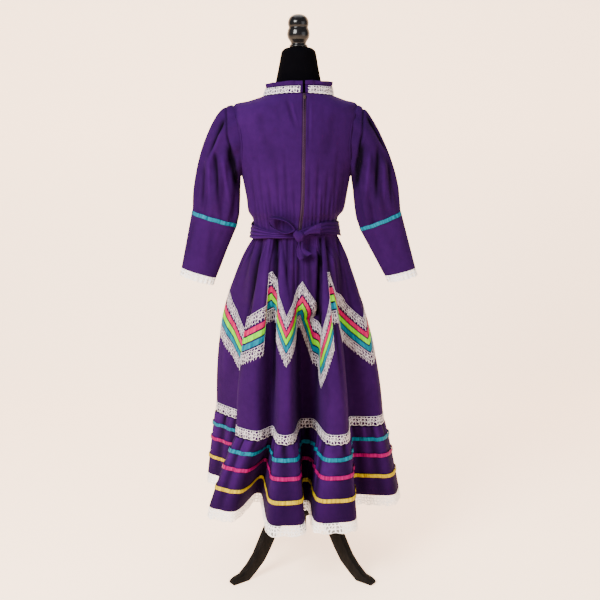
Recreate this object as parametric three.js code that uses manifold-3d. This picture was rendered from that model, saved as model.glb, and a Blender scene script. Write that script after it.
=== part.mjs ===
// Folklorico dress on its limbless dress form, in millimetres, +Z up.
// The garment's back, with the zip and the bow, faces -Y, and +X is the wearer's right.
import * as THREE from 'three';
import { mergeVertices } from 'three/addons/utils/BufferGeometryUtils.js';
import Module from 'manifold-3d';

const wasm = await Module();
wasm.setup();

const clothThickness = 1.4;
const ribbonThickness = 1;
const seamGap = 0.4;
const tierGap = 1.3;
const trimGap = 0.5;

const skirtTop = 1008;
const skirtBottom = 431;
const skirtLaceTop = 460;
const ruffleBottom = 215;
const hemLaceDrop = 31;
const waistCentreX = -15;
const waistHalfWidth = 113;
const waistHalfDepth = 87;
const hipClearHalfWidth = 139;
const hipClearHalfDepth = 106;
const waistSlack = 12;
const hipSharpness = 16;
const formBottom = 850;
const ruffleWaves = 45;
const frontFolds = 5;

const colours = {
  cloth: [0x56307a, 0.85, 0],
  lace: [0xf2eef0, 0.9, 0],
  turquoise: [0x3aa0b4, 0.4, 0],
  magenta: [0xc0298a, 0.4, 0],
  yellow: [0xe6cf4c, 0.4, 0],
  pink: [0xe2467c, 0.4, 0],
  lime: [0xa4e04a, 0.4, 0],
  zip: [0x6a4a68, 0.7, 0],
  metal: [0x8a7a6a, 0.4, 0.8],
  formCloth: [0x060608, 0.95, 0],
  gloss: [0x141416, 0.2, 0],
  paintedWood: [0x1a1818, 0.45, 0],
};

const dress = new THREE.Group();
const radians = THREE.MathUtils.degToRad;
const mix = THREE.MathUtils.lerp;
const vec = (x, y, z) => new THREE.Vector3(x, y, z);

function addPiece(name, geometry, finish) {
  const [color, roughness, metalness] = colours[finish];
  const piece = new THREE.Mesh(geometry, new THREE.MeshStandardMaterial({ color, roughness, metalness }));
  piece.name = name;
  dress.add(piece);
}

function meshOf(points, faces) {
  const geometry = new THREE.BufferGeometry();
  const numbers = points.flatMap((p) => [p.x, p.y, p.z]);
  geometry.setAttribute('position', new THREE.Float32BufferAttribute(numbers, 3));
  geometry.setIndex(faces.flat());
  return geometry;
}

// A sheet is rows of points from its upper edge down, each row running from the wearer's left to right
// across the back. A closed sheet goes all round.
function makeSheet(rows, closed) {
  const last = rows[0].length - 1;
  const normals = rows.map((row, r) => row.map((point, c) => {
    const before = closed ? row[(c + last) % (last + 1)] : row[Math.max(c - 1, 0)];
    const after = closed ? row[(c + 1) % (last + 1)] : row[Math.min(c + 1, last)];
    const above = rows[Math.max(r - 1, 0)][c];
    const below = rows[Math.min(r + 1, rows.length - 1)][c];
    const across = after.clone().sub(before);
    const down = below.clone().sub(above);
    return down.cross(across).normalize();
  }));
  return { rows, normals, closed };
}

// The sheet made solid between two distances along its normals.
function wall(sheet, inner, outer) {
  const rowCount = sheet.rows.length;
  const columnCount = sheet.rows[0].length;
  const points = [];
  for (const distance of [outer, inner]) {
    sheet.rows.forEach((row, r) => row.forEach((point, c) => {
      points.push(point.clone().addScaledVector(sheet.normals[r][c], distance));
    }));
  }
  const under = rowCount * columnCount;
  const at = (r, c) => r * columnCount + (c % columnCount);
  const faces = [];
  const cells = sheet.closed ? columnCount : columnCount - 1;
  for (let r = 0; r < rowCount - 1; r += 1) {
    for (let c = 0; c < cells; c += 1) {
      const [a, b, d, e] = [at(r, c), at(r + 1, c), at(r + 1, c + 1), at(r, c + 1)];
      faces.push([a, b, d], [a, d, e]);
      faces.push([a + under, d + under, b + under], [a + under, e + under, d + under]);
    }
  }
  const edge = (from, to) => faces.push([from, to, to + under], [from, to + under, from + under]);
  for (let c = 0; c < cells; c += 1) {
    edge(at(0, c), at(0, c + 1));
    edge(at(rowCount - 1, c + 1), at(rowCount - 1, c));
  }
  if (!sheet.closed) {
    for (let r = 0; r < rowCount - 1; r += 1) {
      edge(at(r + 1, 0), at(r, 0));
      edge(at(r, cells), at(r + 1, cells));
    }
  }
  return meshOf(points, faces);
}

// Part of a sheet between two places down its columns, counted in rows. A place may differ by column.
function strip(sheet, places) {
  const pick = (list, place, c) => {
    const row = Math.min(Math.floor(place), list.length - 2);
    return list[row][c].clone().lerp(list[row + 1][c], place - row);
  };
  const placeOf = (place, c) => (typeof place === 'function' ? place(c) : place);
  const columns = sheet.rows[0].map((point, c) => c);
  return {
    rows: places.map((place) => columns.map((c) => pick(sheet.rows, placeOf(place, c), c))),
    normals: places.map((place) => columns.map((c) => pick(sheet.normals, placeOf(place, c), c))),
    closed: sheet.closed,
  };
}

// Columns first to last of a sheet as an open panel, its two sides drawn in by half a seam gap.
function panel(sheet, first, last) {
  const count = sheet.rows[0].length;
  const columns = Array.from({ length: last - first + 1 }, (unused, k) => (first + k) % count);
  const cut = (list, drawIn) => list.map((row) => columns.map((c, k) => {
    const end = k === 0 || k === columns.length - 1;
    if (!end || !drawIn) return row[c].clone();
    const neighbour = row[columns[k === 0 ? 1 : k - 1]];
    const level = Math.hypot(row[c].x - neighbour.x, row[c].y - neighbour.y);
    return row[c].clone().lerp(neighbour, seamGap / 2 / level);
  }));
  return { rows: cut(sheet.rows, true), normals: cut(sheet.normals, false), closed: false };
}

// A closed body through rings from the bottom up, each end closed by a flat fan.
function loft(rings) {
  const count = rings[0].length;
  const points = rings.flat();
  const faces = [];
  for (let r = 0; r < rings.length - 1; r += 1) {
    for (let c = 0; c < count; c += 1) {
      const [a, b] = [r * count + c, r * count + ((c + 1) % count)];
      faces.push([a, b, b + count], [a, b + count, a + count]);
    }
  }
  const top = (rings.length - 1) * count;
  for (let c = 1; c < count - 1; c += 1) {
    faces.push([0, c + 1, c], [top, top + c, top + c + 1]);
  }
  return meshOf(points, faces);
}

function ovalRing(centreX, centreY, halfWidth, halfDepth, z, sides) {
  return Array.from({ length: sides }, (unused, k) => {
    const angle = (2 * Math.PI * k) / sides;
    return vec(centreX + halfWidth * Math.sin(angle), centreY - halfDepth * Math.cos(angle), z);
  });
}

function turned(profile, sides) {
  const geometry = new THREE.LatheGeometry(profile.map(([r, z]) => new THREE.Vector2(r, z)), sides);
  geometry.rotateX(Math.PI / 2);
  geometry.deleteAttribute('normal');
  geometry.deleteAttribute('uv');
  return mergeVertices(geometry, 1e-4);
}

// Bodice: sections from the neckline down. Angles run from the centre back toward the wearer's right.
// dip lowers a section between its middles and its sides, where a shoulder rounds off.
const bodiceSections = [
  { sideZ: 1383, backZ: 1391, frontZ: 1372, centreX: -3.5, halfWidth: 97, back: 80, front: 62, dip: 0 },
  { sideZ: 1370.5, backZ: 1377.5, frontZ: 1362, centreX: -7, halfWidth: 133, back: 84, front: 72, dip: 3 },
  { sideZ: 1361, backZ: 1362, frontZ: 1348, centreX: -11.5, halfWidth: 167, back: 89, front: 82, dip: 13 },
  { sideZ: 1330, backZ: 1330, frontZ: 1318, centreX: -11.5, halfWidth: 169, back: 96, front: 96, dip: 4 },
  { sideZ: 1268, backZ: 1268, frontZ: 1262, centreX: -11.5, halfWidth: 164, back: 104, front: 112, dip: 0 },
  { sideZ: 1190, backZ: 1190, frontZ: 1190, centreX: -11, halfWidth: 155, back: 107, front: 123, dip: 0 },
  { sideZ: 1110, backZ: 1110, frontZ: 1110, centreX: -11, halfWidth: 141, back: 103, front: 110, dip: 0 },
  { sideZ: 1068, backZ: 1068, frontZ: 1068, centreX: -13, halfWidth: 134, back: 100, front: 103, dip: 0 },
  { sideZ: 1044, backZ: 1044, frontZ: 1044, centreX: -15, halfWidth: 119, back: 93, front: 93, dip: 0 },
  { sideZ: 1009, backZ: 1009, frontZ: 1009, centreX: -15, halfWidth: 115, back: 89, front: 89, dip: 0 },
];
const zipLine = { topX: 12.5, middleX: 15, bottomX: -3 };
const zipHalfWidth = 5;
const armhole = { z: 1262, halfHeight: 94, halfDepth: 49, sides: 28 };

function sectionAt(place) {
  const row = Math.min(Math.floor(place), bodiceSections.length - 2);
  const blended = {};
  for (const key of Object.keys(bodiceSections[0])) {
    blended[key] = mix(bodiceSections[row][key], bodiceSections[row + 1][key], place - row);
  }
  return blended;
}

function bodicePoint(section, angle, inset = 0, drop = 0) {
  const along = Math.sin(angle);
  const out = Math.cos(angle);
  const depth = (out > 0 ? section.back : section.front) - inset;
  const middleZ = out > 0 ? section.backZ : section.frontZ;
  const z = mix(middleZ, section.sideZ, along * along) - section.dip * Math.sin(2 * angle) ** 2 - drop;
  return vec(section.centreX + (section.halfWidth - inset) * along, -depth * out, z);
}

// The zip's line bows toward the wearer's right between the neck and the waist.
function zipX(place) {
  const t = place / (bodiceSections.length - 1);
  const bow = (zipLine.middleX - zipLine.topX) * Math.sin(Math.PI * t);
  return mix(zipLine.topX, zipLine.bottomX, t ** 1.6) + bow;
}

function zipAngle(place, offset) {
  const section = sectionAt(place);
  return Math.asin((zipX(place) + offset - section.centreX) / section.halfWidth);
}

function bodiceSheet(fromAngle, toAngle, columns) {
  const edge = radians(0.08);
  const rows = bodiceSections.map((section, place) => {
    const [start, end] = [fromAngle(place) + edge, toAngle(place) - edge];
    return Array.from({ length: columns + 1 }, (unused, c) => bodicePoint(section, mix(start, end, c / columns)));
  });
  return makeSheet(rows, false);
}

function solidOf(geometry) {
  const merged = mergeVertices(geometry, 1e-4);
  return new wasm.Manifold(new wasm.Mesh({
    numProp: 3,
    vertProperties: new Float32Array(merged.attributes.position.array),
    triVerts: new Uint32Array(merged.index.array),
  }));
}

function geometryOf(solid) {
  const mesh = solid.getMesh();
  const geometry = new THREE.BufferGeometry();
  geometry.setAttribute('position', new THREE.BufferAttribute(Float32Array.from(mesh.vertProperties), 3));
  geometry.setIndex(new THREE.BufferAttribute(Uint32Array.from(mesh.triVerts), 1));
  return geometry;
}

// The plug that opens an armhole: an upright oval carried outward from beside the neck.
function armholePlug(side) {
  const oval = new THREE.Shape();
  oval.absellipse(0, armhole.z, armhole.halfDepth, armhole.halfHeight, 0, 2 * Math.PI, false, 0);
  const points = oval.getPoints(armhole.sides);
  const outline = new THREE.Shape(points.slice(0, -1));
  const geometry = new THREE.ExtrudeGeometry(outline, { depth: 150, bevelEnabled: false });
  geometry.deleteAttribute('normal');
  geometry.deleteAttribute('uv');
  geometry.applyMatrix4(new THREE.Matrix4().set(0, 0, 1, 0, 1, 0, 0, 0, 0, 1, 0, 0, 0, 0, 0, 1));
  geometry.translate(side > 0 ? 95 : -95 - 150 - 20, 0, 0);
  return solidOf(geometry);
}

const quarter = () => Math.PI / 2;
const bodicePanels = [
  ['bodice_back_left', (place) => -quarter(place), (place) => zipAngle(place, -zipHalfWidth), 7],
  ['bodice_back_right', (place) => zipAngle(place, zipHalfWidth), quarter, 7],
  ['bodice_front', quarter, () => 1.5 * Math.PI, 14],
];
for (const [name, from, to, columns] of bodicePanels) {
  let solid = solidOf(wall(bodiceSheet(from, to, columns), 0, clothThickness));
  for (const side of [-1, 1]) solid = solid.subtract(armholePlug(side));
  addPiece(name, geometryOf(solid), 'cloth');
}

const tapeEdge = zipHalfWidth - seamGap;
const zipRows = bodiceSections.map((section, place) => [-tapeEdge, 0, tapeEdge].map((offset) => (
  bodicePoint(section, zipAngle(place, offset))
)));
addPiece('zip_tape', wall(makeSheet(zipRows, false), 0, ribbonThickness), 'zip');

function zipSlider() {
  const outline = new THREE.Shape();
  outline.moveTo(-2.4, -5);
  outline.lineTo(2.4, -5);
  outline.lineTo(3.6, 1);
  outline.quadraticCurveTo(3.2, 5, 0, 5);
  outline.quadraticCurveTo(-3.2, 5, -3.6, 1);
  const settings = { depth: 2.6, bevelEnabled: false, curveSegments: 4 };
  const geometry = new THREE.ExtrudeGeometry(outline, settings);
  geometry.rotateX(Math.PI / 2);
  geometry.rotateX(radians(-17));
  geometry.translate(zipX(0.83), -84.1, 1381);
  return geometry;
}
addPiece('zip_slider', zipSlider(), 'metal');

// Collar: a stand that leans in, its lace, and the boxed frill above it, all open at the centre back.
const collarFoot = {
  sideZ: 1384.8, backZ: 1392.9, frontZ: 1373.8, centreX: -3.5, halfWidth: 96, back: 79.5, front: 61.5, dip: 0,
};
const collarTop = {
  sideZ: 1405, backZ: 1412, frontZ: 1395, centreX: -1.5, halfWidth: 91, back: 76, front: 58, dip: 0,
};
const collarOpening = { x: 12, clothHalf: 3.5, laceHalf: 10.5 };
const collarLean = 4;
const frillHeight = 11;
const frillWaves = 24;

function collarRow(section, half, columns) {
  const start = Math.asin((collarOpening.x + half - section.centreX) / section.halfWidth);
  const end = Math.asin((collarOpening.x - half - section.centreX) / section.halfWidth) + 2 * Math.PI;
  return Array.from({ length: columns + 1 }, (unused, c) => {
    const angle = mix(start, end, c / columns);
    const point = bodicePoint(section, angle);
    if (section === collarTop) point.z += collarLean * Math.max(Math.sin(angle), 0);
    return point;
  });
}

const collarColumns = 26;
const collarSheet = (half) => makeSheet(
  [collarTop, collarFoot].map((section) => collarRow(section, half, collarColumns)),
  false,
);
const collarStand = collarSheet(collarOpening.clothHalf);
addPiece('collar_stand', wall(collarStand, 0, clothThickness), 'cloth');
const overCloth = clothThickness + trimGap;
const collarLace = strip(collarSheet(collarOpening.laceHalf), [0.1, 1]);
addPiece('collar_lace', wall(collarLace, overCloth + 0.3, overCloth + 0.3 + ribbonThickness), 'lace');

function collarFrill() {
  const columns = 2 * frillWaves;
  const base = collarRow(collarTop, collarOpening.clothHalf, columns);
  const rise = [frillHeight, 0];
  const rows = rise.map((height, r) => base.map((point, c) => {
    const out = vec(point.x - collarTop.centreX, point.y, 0).normalize();
    const wave = (Math.floor(c / 2) % 2 ? 1 : -1) * (r === 0 ? 2.2 : 1);
    return point.clone().addScaledVector(out, wave).add(vec(0, 0, tierGap + height));
  }));
  return wall(makeSheet(rows, false), 0, clothThickness);
}
addPiece('collar_frill', collarFrill(), 'cloth');

// Sleeves: each line is a Bezier curve in the X-Z plane, from the armhole to the ribbon.
const sleeves = [
  {
    side: 'left',
    outer: [[-178, 1353.5], [-248, 1366], [-300, 1190], [-307, 1064]],
    inner: [[-168, 1171.5], [-172, 1140], [-168, 1085], [-181, 1026]],
    cuffOuter: [-341, 906],
    cuffInner: [-244, 876],
  },
  {
    side: 'right',
    outer: [[155, 1353.5], [206, 1347], [277, 1190], [285, 1057]],
    inner: [[144.5, 1171.5], [150, 1140], [148, 1075], [169, 1012]],
    cuffOuter: [327, 900],
    cuffInner: [241, 878],
  },
];
const sleeveColumns = 20;
const sleeveDepth = [armhole.halfDepth - 1.9, 60, 52, 33];
const cuffDepth = 26;
const sleeveRows = [0, 0.07, 0.2, 0.4, 0.62, 0.84, 1];
const pleatDepth = [0, 1, 2.5, 2, 2.5, 4, 0];
const rootFollow = 0.88;
const sleeveRibbonHalf = 5.5;
const cuffLaceDrop = 23;

function bezier(values, t) {
  const s = 1 - t;
  return s ** 3 * values[0] + 3 * s * s * t * values[1] + 3 * s * t * t * values[2] + t ** 3 * values[3];
}

// The armhole's edge lies on the bodice, so a sleeve starts nearer the body at its front and back.
function armholeX(y, z, right) {
  const place = bodiceSections.findIndex((section) => section.sideZ < z) - 1;
  const next = bodiceSections[place + 1];
  const section = sectionAt(place + (bodiceSections[place].sideZ - z) / (bodiceSections[place].sideZ - next.sideZ));
  const depth = y < 0 ? section.back : section.front;
  return section.centreX + (right ? 1 : -1) * section.halfWidth * Math.sqrt(1 - (y / depth) ** 2);
}

function sleeveRing(outer, inner, depth, pleat, right, root = 0) {
  return Array.from({ length: sleeveColumns }, (unused, c) => {
    const angle = (2 * Math.PI * c) / sleeveColumns;
    const swell = c % 2 ? pleat : -pleat;
    const across = 0.5 + 0.5 * Math.cos(angle) * (1 + swell / 65);
    const z = mix(inner[1], outer[1], across);
    const y = (depth + swell) * Math.sin(angle) * (right ? 1 : -1);
    const pull = root > 0 ? armholeX(y, z, right) - armholeX(0, z, right) : 0;
    return vec(mix(inner[0], outer[0], across) + pull * root * rootFollow, y, z);
  });
}

const rootReach = 0.5;
const rootPull = (t) => (t < rootReach ? (1 - t / rootReach) ** 2 : 0);

for (const sleeve of sleeves) {
  const right = sleeve.side === 'right';
  const line = (name, t) => [0, 1].map((k) => bezier(sleeve[name].map((point) => point[k]), t));
  const upperRows = sleeveRows.map((t, r) => (
    sleeveRing(line('outer', t), line('inner', t), bezier(sleeveDepth, t), pleatDepth[r], right, rootPull(t))
  ));
  const upper = makeSheet(upperRows, true);
  addPiece(`upper_sleeve_${sleeve.side}`, wall(upper, 0, clothThickness), 'cloth');

  const length = Math.hypot(sleeve.cuffOuter[0] - sleeve.outer[3][0], sleeve.cuffOuter[1] - sleeve.outer[3][1]);
  const lowerRow = (distance, flare = 0, pleat = 0) => {
    const t = distance / length;
    const outer = [0, 1].map((k) => mix(sleeve.outer[3][k], sleeve.cuffOuter[k], t));
    const inner = [0, 1].map((k) => mix(sleeve.inner[3][k], sleeve.cuffInner[k], t));
    return sleeveRing(outer, inner, mix(sleeveDepth[3], cuffDepth, Math.min(t, 1)) + flare, pleat, right);
  };
  const lower = makeSheet([lowerRow(seamGap), lowerRow(length * 0.5), lowerRow(length)], true);
  addPiece(`lower_sleeve_${sleeve.side}`, wall(lower, 0, clothThickness), 'cloth');

  const ribbon = makeSheet([lowerRow(-sleeveRibbonHalf, 0.8), lowerRow(sleeveRibbonHalf, 0.8)], true);
  const lift = clothThickness + trimGap + 0.9;
  addPiece(`sleeve_ribbon_${sleeve.side}`, wall(ribbon, lift, lift + ribbonThickness), 'turquoise');

  const lace = makeSheet([lowerRow(length + seamGap, 0.3, 0.6), lowerRow(length + cuffLaceDrop, 3, 2.2)], true);
  addPiece(`cuff_lace_${sleeve.side}`, wall(lace, 0.2, 0.2 + ribbonThickness), 'lace');
}

// Skirt folds. Waist places are angles from the centre back; the others are plan places in mm, each with
// half the width of its rounded top or floor. drop raises the lower edge there.
const backFolds = [
  {
    waistCrest: -72, waistValley: -47, lift: 20,
    seamCrest: [-252, 110, 28], seamValley: [-150, -38, 10],
    hemCrest: [-280, 150, 36], hemValley: [-190, 30, 12],
  },
  {
    waistCrest: -36, waistValley: -25, lift: 0,
    seamCrest: [-163, -118, 40], seamValley: [-84, -94, 6],
    hemCrest: [-240, -118, 42], hemValley: [-133, 5, 9],
  },
  {
    waistCrest: -10, waistValley: 20, lift: 0,
    seamCrest: [-47, -176, 17], seamValley: [13, -27, 19],
    hemCrest: [-45, -230, 42], hemValley: [8, -50, 10],
  },
  {
    waistCrest: 40, waistValley: 50, lift: 0,
    seamCrest: [100, -178, 24], seamValley: [136, -28, 7],
    hemCrest: [92, -212, 52], hemValley: [152, -30, 9],
  },
  {
    waistCrest: 80, waistValley: 103, lift: 6,
    seamCrest: [238, 5, 36], seamValley: [158, 66, 9],
    hemCrest: [285, 5, 45], hemValley: [182, 88, 11],
  },
];
const foldColumns = 6;
const skirtCentreY = 20;
const front = {
  seamCrest: 240, seamValley: 172, seamHalf: 26, hemCrest: 287, hemValley: 196, hemHalf: 36, valleyHalf: 12,
};
const roundOff = { crest: 9, valley: 4 };

// The front folds fill the arc between the last and the first back fold, a little uneven in depth.
function frontFold(k) {
  const step = (252 - 92) / (frontFolds + 1);
  const angle = 92 + step * (k + 1);
  const uneven = 8 * Math.sin(2.3 * k + 1);
  const place = (radius, degrees, half) => [
    radius * Math.sin(radians(degrees)),
    skirtCentreY - radius * Math.cos(radians(degrees)),
    half,
  ];
  return {
    waistCrest: 92 + 30.5 * (k + 1) - 6,
    waistValley: 92 + 30.5 * (k + 1) + 10,
    lift: 4 + uneven / 2,
    seamCrest: place(front.seamCrest + uneven, angle, front.seamHalf),
    seamValley: place(front.seamValley - uneven, angle + step / 2, front.valleyHalf),
    hemCrest: place(front.hemCrest + uneven, angle, front.hemHalf),
    hemValley: place(front.hemValley - uneven, angle + step / 2, front.valleyHalf),
  };
}
const folds = [...backFolds, ...Array.from({ length: frontFolds }, (unused, k) => frontFold(k))];
const skirtColumns = folds.length * foldColumns;

// Six plan points a fold: a rounded crest, then a rounded valley, each turned to face between its neighbours.
function foldRing(crestKey, valleyKey) {
  const turns = folds.flatMap((fold) => [fold[crestKey], fold[valleyKey]]);
  const flat = ([x, y]) => new THREE.Vector2(x, y);
  return turns.flatMap((turn, k) => {
    const here = flat(turn);
    const arriving = here.clone().sub(flat(turns[(k + turns.length - 1) % turns.length])).normalize();
    const leaving = flat(turns[(k + 1) % turns.length]).sub(here).normalize();
    const along = arriving.add(leaving).normalize();
    const inward = new THREE.Vector2(-along.y, along.x).multiplyScalar(k % 2 ? -roundOff.valley : roundOff.crest);
    return [-1, 0, 1].map((side) => {
      const point = here.clone().addScaledVector(along, side * turn[2]);
      return side === 0 ? point : point.add(inward);
    });
  });
}
const seamRing = foldRing('seamCrest', 'seamValley');
const hemRing = foldRing('hemCrest', 'hemValley');

const waistRing = folds.flatMap((fold, k) => {
  const next = folds[(k + 1) % folds.length];
  const nextCrest = next.waistCrest + (k === folds.length - 1 ? 360 : 0);
  const third = (nextCrest - fold.waistCrest) / 6;
  const angles = [
    fold.waistCrest - third * 0.5, fold.waistCrest, fold.waistCrest + third * 0.5,
    mix(fold.waistCrest + third * 0.5, fold.waistValley, 0.6), fold.waistValley,
    mix(fold.waistValley, nextCrest, 0.35),
  ];
  const gather = [3, 4, 3, 0, -1, 0];
  return angles.map((degrees, c) => {
    const angle = radians(degrees);
    return new THREE.Vector2(
      waistCentreX + (waistHalfWidth + gather[c]) * Math.sin(angle),
      -(waistHalfDepth + gather[c]) * Math.cos(angle),
    );
  });
});

// How far a skirt point has moved from its waist place to its place at the lower edge: fast at first, and
// fastest on the left, where the skirt spreads to its full width well above the ruffle.
const flarePower = { middle: 1.7, left: 2.7 };

function flare(waistX, z) {
  const leftward = Math.max(0, (waistCentreX - waistX) / waistHalfWidth);
  const power = mix(flarePower.middle, flarePower.left, leftward ** 2);
  return 1 - ((z - skirtBottom) / (skirtTop - skirtBottom)) ** power;
}

function skirtPoint(c, z) {
  const at = waistRing[c].clone().lerp(seamRing[c], flare(waistRing[c].x, z));
  const fade = THREE.MathUtils.smoothstep(z, formBottom - 140, formBottom - 30);
  const start = THREE.MathUtils.smoothstep(skirtTop - z, 0, 90);
  const halfWidth = mix(waistHalfWidth - waistSlack, hipClearHalfWidth, start) * fade;
  const halfDepth = mix(waistHalfDepth - waistSlack, hipClearHalfDepth, start) * fade;
  if (fade > 0) {
    const reach = Math.hypot((at.x - waistCentreX) / halfWidth, at.y / halfDepth);
    const push = (reach ** hipSharpness + 1) ** (1 / hipSharpness) / reach;
    if (reach < 3) at.set(waistCentreX + (at.x - waistCentreX) * push, at.y * push);
  }
  return vec(at.x, at.y, z);
}

const columnLift = folds.flatMap((fold, k) => {
  const next = folds[(k + 1) % folds.length];
  return Array.from({ length: foldColumns }, (unused, c) => {
    const t = Math.max(c - 2, 0) / 4;
    return mix(fold.lift, next.lift, t);
  });
});

// Zigzag corners: skirt column and the height of the band's upper edge. Those not given here are spaced
// evenly along the cloth round the front.
const backCorners = [
  { column: 4, z: 742 }, { column: 10, z: 925 }, { column: 13, z: 776 }, { column: 15, z: 886 },
  { column: 17.3, z: 700 }, { column: 19, z: 917 }, { column: 24, z: 745 }, { column: 27, z: 900 },
];
const frontCorners = 9;
const stripInset = 1.5;
const stripLift = clothThickness + 0.9;
const zigzag = { peak: 905, dip: 760, stripHeights: [41, 21, 21, 21, 41] };

function zigzagUpper() {
  const ring = Array.from({ length: skirtColumns }, (unused, c) => skirtPoint(c, 780));
  const reach = [0];
  for (let c = 0; c < 2 * skirtColumns; c += 1) {
    reach.push(reach[c] + ring[c % skirtColumns].distanceTo(ring[(c + 1) % skirtColumns]));
  }
  const last = backCorners[backCorners.length - 1];
  const wrap = backCorners[0].column + skirtColumns;
  const reachAt = (column) => mix(reach[Math.floor(column)], reach[Math.floor(column) + 1], column % 1);
  const corners = backCorners.map(({ column, z }) => ({ at: reachAt(column), z }));
  for (let k = 1; k <= frontCorners; k += 1) {
    const at = mix(reach[last.column], reach[wrap], k / (frontCorners + 1));
    corners.push({ at, z: k % 2 ? zigzag.dip : zigzag.peak });
  }
  corners.push({ at: reach[wrap], z: backCorners[0].z });
  return ring.map((point, c) => {
    const at = c < backCorners[0].column ? reach[c + skirtColumns] : reach[c];
    const k = corners.findIndex((corner, n) => n > 0 && corner.at >= at);
    const [from, to] = [corners[k - 1], corners[k]];
    return mix(from.z, to.z, (at - from.at) / (to.at - from.at));
  });
}
const upperEdge = zigzagUpper();

const skirtHeights = upperEdge.map((edge, c) => {
  const heights = [skirtTop, mix(skirtTop, edge, 0.3), mix(skirtTop, edge, 0.65), edge];
  for (const height of zigzag.stripHeights) heights.push(heights[heights.length - 1] - height);
  const laceTop = skirtLaceTop + columnLift[c];
  const bandBottom = heights[heights.length - 1];
  heights.push(mix(bandBottom, laceTop, 0.5), laceTop, skirtBottom + columnLift[c]);
  return heights;
});
const skirtSheet = makeSheet(
  skirtHeights[0].map((unused, r) => skirtHeights.map((heights, c) => skirtPoint(c, heights[r]))),
  true,
);
const bandRow = 3;
const laceRow = skirtHeights[0].length - 2;

// The back opening's seam runs down a valley; the side seams lie beside the hips.
const skirtPanels = [
  ['skirt_back_left', 58, 75],
  ['skirt_back_right', 15, 28],
  ['skirt_front', 28, 58],
];
for (const [name, first, last] of skirtPanels) {
  addPiece(name, wall(panel(skirtSheet, first, last), 0, clothThickness), 'cloth');
}

const stripNames = [
  ['zigzag_lace_upper', 'lace'], ['zigzag_ribbon_pink', 'pink'], ['zigzag_ribbon_lime', 'lime'],
  ['zigzag_ribbon_turquoise', 'turquoise'], ['zigzag_lace_lower', 'lace'],
];
stripNames.forEach(([name, finish], k) => {
  const inset = stripInset / zigzag.stripHeights[k];
  const row = bandRow + k;
  const flat = strip(skirtSheet, [row + inset, row + 1 - inset]);
  addPiece(name, wall(flat, stripLift, stripLift + ribbonThickness), finish);
});
const skirtLace = strip(skirtSheet, [laceRow, laceRow + 0.94]);
addPiece('skirt_lace', wall(skirtLace, overCloth, overCloth + ribbonThickness), 'lace');

// Ruffle: its columns are evenly spaced along the skirt's lower edge, and gathers alternate across them.
const ruffleColumns = 2 * ruffleWaves;
const ringCurve = (ring) => new THREE.CatmullRomCurve3(ring.map((p) => vec(p.x, p.y, 0)), true, 'centripetal');
const seamCurve = ringCurve(seamRing);
const hemCurve = ringCurve(hemRing);
const hemLift = (c) => columnLift[c] * 1.3;

function evenPlaces(curve, count) {
  const samples = 1200;
  const reach = [0];
  for (let k = 1; k <= samples; k += 1) {
    reach.push(reach[k - 1] + curve.getPoint((k - 1) / samples).distanceTo(curve.getPoint(k / samples)));
  }
  return Array.from({ length: count }, (unused, c) => {
    const wanted = (reach[samples] * c) / count;
    const k = reach.findIndex((length) => length > wanted);
    return (k - 1 + (wanted - reach[k - 1]) / (reach[k] - reach[k - 1])) / samples;
  });
}
const rufflePlaces = evenPlaces(seamCurve, ruffleColumns);
const ribbonCentres = [391, 341, 277];
const ruffleLevels = [skirtBottom - tierGap, ...ribbonCentres, ruffleBottom];
const gatherDepth = [4.2, 3.4, 2.4, 1.4, 0.8];

function liftAt(place, list) {
  const at = place * skirtColumns;
  const c = Math.floor(at);
  return mix(list(c % skirtColumns), list((c + 1) % skirtColumns), at - c);
}

function rufflePoint(c, level, gather) {
  const place = rufflePlaces[c];
  const down = (skirtBottom - level) / (skirtBottom - ruffleBottom);
  const spread = Math.min(down, 1) ** 0.85 + Math.max(down - 1, 0) * 0.5;
  const at = seamCurve.getPoint(place).lerp(hemCurve.getPoint(place), spread);
  const along = seamCurve.getTangent(place).lerp(hemCurve.getTangent(place), Math.min(spread, 1)).normalize();
  at.addScaledVector(vec(along.y, -along.x, 0), c % 2 ? gather : 0);
  const lift = mix(liftAt(place, (k) => columnLift[k]), liftAt(place, hemLift), Math.min(down, 1));
  return vec(at.x, at.y, level + lift);
}
const ruffleRow = (level, gather) => rufflePlaces.map((place, c) => rufflePoint(c, level, gather));
const ruffleSheet = makeSheet(ruffleLevels.map((level, r) => ruffleRow(level, gatherDepth[r])), true);
const ruffleColumnAt = (skirtColumn) => rufflePlaces.findIndex((place) => place * skirtColumns > skirtColumn);
const rightSide = ruffleColumnAt(28);
const leftSide = ruffleColumnAt(58);
const rufflePanels = [
  ['ruffle_back', leftSide, rightSide + ruffleColumns],
  ['ruffle_front', rightSide, leftSide],
];
for (const [name, first, last] of rufflePanels) {
  addPiece(name, wall(panel(ruffleSheet, first, last), 0, clothThickness), 'cloth');
}

const ribbonHalf = 5.5;
const ribbonNames = [
  ['ruffle_ribbon_turquoise', 'turquoise'],
  ['ruffle_ribbon_magenta', 'magenta'],
  ['ruffle_ribbon_yellow', 'yellow'],
];
ribbonNames.forEach(([name, finish], k) => {
  const row = k + 1;
  const above = row - ribbonHalf / (ruffleLevels[row - 1] - ruffleLevels[row]);
  const below = row + ribbonHalf / (ruffleLevels[row] - ruffleLevels[row + 1]);
  const lift = clothThickness + 1;
  addPiece(name, wall(strip(ruffleSheet, [above, below]), lift, lift + ribbonThickness), finish);
});

const hemLaceSheet = makeSheet([
  ruffleRow(ruffleBottom - tierGap, 0.8),
  ruffleRow(ruffleBottom - hemLaceDrop, 4),
], true);
addPiece('hem_lace', wall(hemLaceSheet, 0.2, 0.2 + ribbonThickness), 'lace');

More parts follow.
